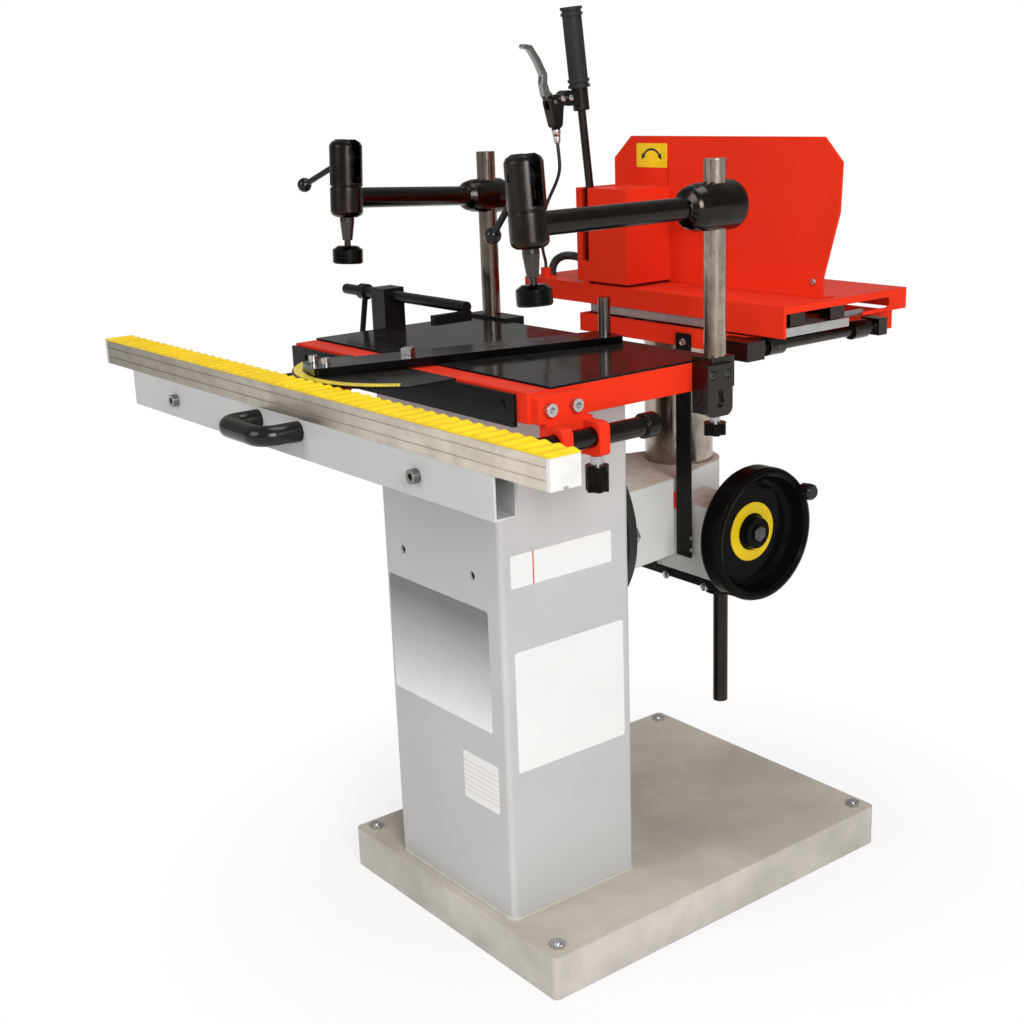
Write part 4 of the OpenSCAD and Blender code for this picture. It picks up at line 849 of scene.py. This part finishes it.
class MORTISER_OT_add_cables(bpy.types.Operator):
    """Runs the brake cable down to the tray and the conduit into the lever box"""
    bl_idname = "mortiser.add_cables"
    bl_label = "Run the cables"

    def execute(self, context):
        rubber = moulded("cable_black", (0.014, 0.014, 0.015), gloss=0.35)
        run_brake_cable(rubber)
        run_conduit(rubber)
        return {"FINISHED"}


class MORTISER_OT_paint_stand(bpy.types.Operator):
    """Paints the stand, the arm and the rail's tube light grey"""
    bl_idname = "mortiser.paint_stand"
    bl_label = "Paint the stand"

    def execute(self, context):
        tone = colours()
        dress(paint("stand_grey", tone.stand, gloss=0.40, dust=0.10, wear=0.25, bare=(0.36, 0.35, 0.33),
                    Specular_IOR_Level=0.35),
              "column", "rail_tube")
        clouded = mottled(tone.pan, scale=9.0, low=0.80, high=1.20)
        dress(paint("pan_grey", clouded, gloss=0.55, dust=0.75, wear=0.5,
                    bare=(0.52, 0.50, 0.46), bump=0.3, patches=6.0, Specular_IOR_Level=0.3),
              "base_pan")
        flange = split_at("Y", FLANGE_BACK, (0.018, 0.018, 0.019), tone.casting, blur=0.001)
        dress(paint("casting_grey", flange, gloss=0.45, dust=1.0, wear=0.4, bump=0.25, edge=0.003,
                    Specular_IOR_Level=0.3),
              "arm_casting", "gear_cover")
        return {"FINISHED"}


class MORTISER_OT_paint_red(bpy.types.Operator):
    """Paints the table, the rod brackets, the saddle, the tray and the guard red"""
    bl_idname = "mortiser.paint_red"
    bl_label = "Paint the red parts"

    def execute(self, context):
        dress(paint("red_paint", colours().red, gloss=0.34, dust=0.05, wear=0.25, bare=(0.20, 0.05, 0.03),
                    edge=0.002, Specular_IOR_Level=0.05),
              "table_body", "rod_brackets", "height_pointer", "saddle", "tray", "guard_panel", "lever_box")
        return {"FINISHED"}


class MORTISER_OT_paint_black(bpy.types.Operator):
    """Blackens the sheet, the apron, the fence, the clamp arms, the guide rods and the lever"""
    bl_idname = "mortiser.paint_black"
    bl_label = "Blacken the black parts"

    def execute(self, context):
        tone = colours().black
        dress(paint("black_paint", tone, gloss=0.30, dust=0.05, wear=0.5, bare=(0.10, 0.10, 0.10),
                    Specular_IOR_Level=0.14),
              "front_apron", "stop_post", "flip_stop", "post_bracket_left", "nut_plate", "height_scale")
        pin = split_at("Z", FENCE_TOP, (0.014, 0.014, 0.0145), (0.15, 0.135, 0.125))
        dress(metal("fence_black", pin, gloss=0.22, stains=0.2, stain=(0.03, 0.025, 0.02), lines=(9, 9, 9),
                    bump=0.0),
              "fence_bar")
        dress(paint("table_black", tone, gloss=0.12, dust=0.03, wear=0.6, bare=(0.16, 0.16, 0.16),
                    bump=0.05, patches=9.0, Specular_IOR_Level=0.05),
              "table_sheet")
        dress(metal("oiled_black", (0.034, 0.030, 0.028), gloss=0.17, stains=0.4,
                    stain=(0.05, 0.035, 0.022), lines=(9, 9, 9), bump=0.0, edge=0.003),
              "clamp_arm_right", "clamp_arm_left", "guide_rods", "control_lever")
        return {"FINISHED"}


class MORTISER_OT_finish_metal(bpy.types.Operator):
    """Gives the bare metal parts their drawn, turned or blackened finish, with painted light on the clamp
    posts and the rail and painted shade on the carriage's bearings
    """
    bl_idname = "mortiser.finish_metal"
    bl_label = "Finish the bare metal"

    def execute(self, context):
        dress(metal("bright_steel", (0.58, 0.58, 0.58), gloss=0.24, stains=0.25),
              "anchor_bolts", "bracket_bolts", "fence_bolts", "flange_bolts", "depth_rods", "chuck")
        dress(metal("dull_steel", (0.27, 0.265, 0.26), gloss=0.20), "tube_bolts")
        dress(metal("blade_steel", (0.31, 0.30, 0.29), gloss=0.13, stains=0.2, edge=0.0025), "brake_blade")
        # The carriage plate below PLATE_TOP is bright steel; the bearing blocks above it are painted
        # near-black as painted shade under the tray's lip
        bearings_in_painted_shade = split_at("Z", PLATE_TOP, (0.56, 0.56, 0.55), (0.05, 0.048, 0.046))
        dress(metal("plate_steel_painted_shade", bearings_in_painted_shade, gloss=0.42, stains=0.2, lines=(500, 40, 40)), "carriage")
        # Painted light: the left post gets a dark, shaded tone and the right post a pale, lit tone of the
        # same steel
        posts_shaded_left_lit_right = by_place("X", low=-0.10, high=0.10, below=(0.17, 0.145, 0.125), above=(0.41, 0.345, 0.29))
        dress(metal("post_steel_painted_light", posts_shaded_left_lit_right, gloss=0.18, stains=0.65, stain=OIL_STAIN, lines=(500, 500, 30)),
              "clamp_posts")
        dress(metal("quill_steel", (0.44, 0.37, 0.31), gloss=0.17, stains=0.6, stain=OIL_STAIN,
                    lines=(500, 500, 30)),
              "quill")
        dress(metal("screw_steel", (0.026, 0.024, 0.023), gloss=0.18, lines=(20, 20, 900)), "lift_screw")
        dress(metal("black_steel", (0.05, 0.047, 0.044), gloss=0.26, stains=0.5, edge=0.002),
              "post_bracket_right", "depth_stop_rod", "stop_collar_front", "stop_collar_rear", "side_rods")
        for node, top in PAD_TOPS.items():
            tone = split_at("Z", top, (0.012, 0.012, 0.012), (0.075, 0.066, 0.059), blur=0.0005)
            dress(metal(node + "_steel", tone, gloss=0.19, stain=(0.02, 0.016, 0.013)), node)
        # Painted light: the rail's aluminium grows from a dark, shaded tone at its left end to a pale, lit
        # tone at its right end
        drawn_grain_and_painted_light = by_place("X", low=-0.5, high=0.5, below=(0.28, 0.255, 0.22), above=(0.78, 0.71, 0.60))
        dress(metal("rail_aluminium_painted_light", drawn_grain_and_painted_light, gloss=0.36, stains=0.35, stain=(0.24, 0.20, 0.15),
                    lines=(14, 500, 900)),
              "rail_profile")
        return {"FINISHED"}


class MORTISER_OT_finish_plastic(bpy.types.Operator):
    """Finishes the knobs, the wheel, the strip, the scale, the rubber and the motor"""
    bl_idname = "mortiser.finish_plastic"
    bl_label = "Finish the plastic and rubber"

    def execute(self, context):
        yellow = colours().yellow
        dress(moulded("knob_black", KNOB_BLACK, gloss=0.16, edge=0.002, Specular_IOR_Level=0.3),
              "bow_handle", "cam_lever_right", "cam_lever_left", "crank_knob")
        for node, top in KNOB_TOPS.items():
            stem = split_at("Z", top, KNOB_BLACK, (0.50, 0.49, 0.48))
            dress(metal(node + "_skin", stem, gloss=0.24, stains=0.2), node)
        dress(moulded("wheel_black", (0.003, 0.003, 0.0032), gloss=0.14, rub=0.15, edge=0.002,
                      Specular_IOR_Level=0.04),
              "handwheel")
        dress(moulded("grip_rubber", (0.013, 0.0125, 0.012), gloss=0.6, grain=900.0, bump=0.2,
                      Specular_IOR_Level=0.3),
              "rubber_grip")
        dress(moulded("strip_yellow", yellow, gloss=0.38, grain=700.0, Specular_IOR_Level=0.25),
              "ribbed_strip")
        deeper = mottled(yellow, scale=30.0, low=0.72, high=0.80)
        dress(moulded("ring_yellow", deeper, gloss=0.38, grain=700.0, Specular_IOR_Level=0.25),
              "wheel_ring")
        scale = engraved_arc((0.80, 0.61, 0.06), (0.05, 0.04, 0.02), centre=(0.0, -0.345), step=2.0,
                             share=0.09)
        dress(moulded("scale_yellow", scale, gloss=0.30, rub=0.1, Specular_IOR_Level=0.25), "angle_scale")
        dress(moulded("cap_grey", (0.62, 0.61, 0.59), gloss=0.45), "rail_end_caps")
        dress(paint("motor_grey", (0.05, 0.055, 0.062), gloss=0.45, wear=0.3), "motor")
        return {"FINISHED"}


class MORTISER_OT_add_plates(bpy.types.Operator):
    """Fixes the bare plates to the column and the arrow plate to the guard"""
    bl_idname = "mortiser.add_plates"
    bl_label = "Fix the plates"

    def execute(self, context):
        fix_column_plates()
        fix_arrow_plate()
        return {"FINISHED"}


class MORTISER_OT_add_fasteners(bpy.types.Operator):
    """Fits the small screws, nuts, rivets, the cable's ferrule and the fan cover's rings"""
    bl_idname = "mortiser.add_fasteners"
    bl_label = "Fit the small fasteners"

    def execute(self, context):
        bright = metal("screw_bright", (0.62, 0.62, 0.61), gloss=0.22, edge=0.0004)
        dark = metal("screw_dark", (0.10, 0.098, 0.095), gloss=0.30, stains=0.4, edge=0.0004)
        fit_bracket_screws(dark)
        fit_hub_nut(dark)
        fit_brake_screws(bright)
        fit_cable_ferrule(bright)
        fit_scale_rivets(bright)
        fit_nut_plate_bolts(bright)
        fit_guard_screw(bright)
        fit_collar_screws(dark)
        fit_fan_rings()
        return {"FINISHED"}


class MORTISER_OT_add_welds(bpy.types.Operator):
    """Lays the weld bead round the foot of the column"""
    bl_idname = "mortiser.add_welds"
    bl_label = "Lay the weld bead"

    def execute(self, context):
        lift, inset, step = 0.001, 0.008, 0.006
        low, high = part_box("column")
        foot = low[2] + lift
        corners = ((low[0], low[1]), (high[0], low[1]), (high[0], high[1]), (low[0], high[1]))
        points = []
        for (ax, ay), (bx, by) in zip(corners, corners[1:] + corners[:1]):
            start, end = Vector((ax, ay, foot)), Vector((bx, by, foot))
            way = (end - start).normalized()
            run = (end - start).length - 2 * inset
            count = int(run / step)
            points += [start + way * (inset + run * i / count) for i in range(count + 1)]
        skin = paint("weld_grey", colours().pan, gloss=0.5, dust=0.3, wear=0.3, bump=0.3, edge=0.001)
        mesh = tube_mesh("column_weld", points, sizes().weld_radius, skin, sides=10, closed=True, swell=0.2)
        place_mesh("column_weld", mesh, "frame", smooth=60)
        return {"FINISHED"}


OPERATORS = (
    MORTISER_OT_add_stage,
    MORTISER_OT_add_cables,
    MORTISER_OT_paint_stand,
    MORTISER_OT_paint_red,
    MORTISER_OT_paint_black,
    MORTISER_OT_finish_metal,
    MORTISER_OT_finish_plastic,
    MORTISER_OT_add_plates,
    MORTISER_OT_add_fasteners,
    MORTISER_OT_add_welds,
)


class MORTISER_PT_panel(bpy.types.Panel):
    bl_idname = "MORTISER_PT_panel"
    bl_label = "Slot mortiser"
    bl_space_type = "VIEW_3D"
    bl_region_type = "UI"
    bl_category = "Mortiser"

    def draw(self, context):
        for group in (context.scene.mortiser_colours, context.scene.mortiser_sizes):
            for name in group.__annotations__:
                self.layout.prop(group, name)
        for operator in OPERATORS:
            self.layout.operator(operator.bl_idname)


CLASSES = (MortiserColours, MortiserSizes, *OPERATORS, MORTISER_PT_panel)


def register():
    for item in CLASSES:
        bpy.utils.register_class(item)
    bpy.types.Scene.mortiser_colours = PointerProperty(type=MortiserColours)
    bpy.types.Scene.mortiser_sizes = PointerProperty(type=MortiserSizes)


def unregister():
    del bpy.types.Scene.mortiser_colours
    del bpy.types.Scene.mortiser_sizes
    for item in reversed(CLASSES):
        bpy.utils.unregister_class(item)


def main():
    register()
    for operator in OPERATORS:
        group, name = operator.bl_idname.split(".")
        getattr(getattr(bpy.ops, group), name)()


if __name__ == "__main__":
    main()
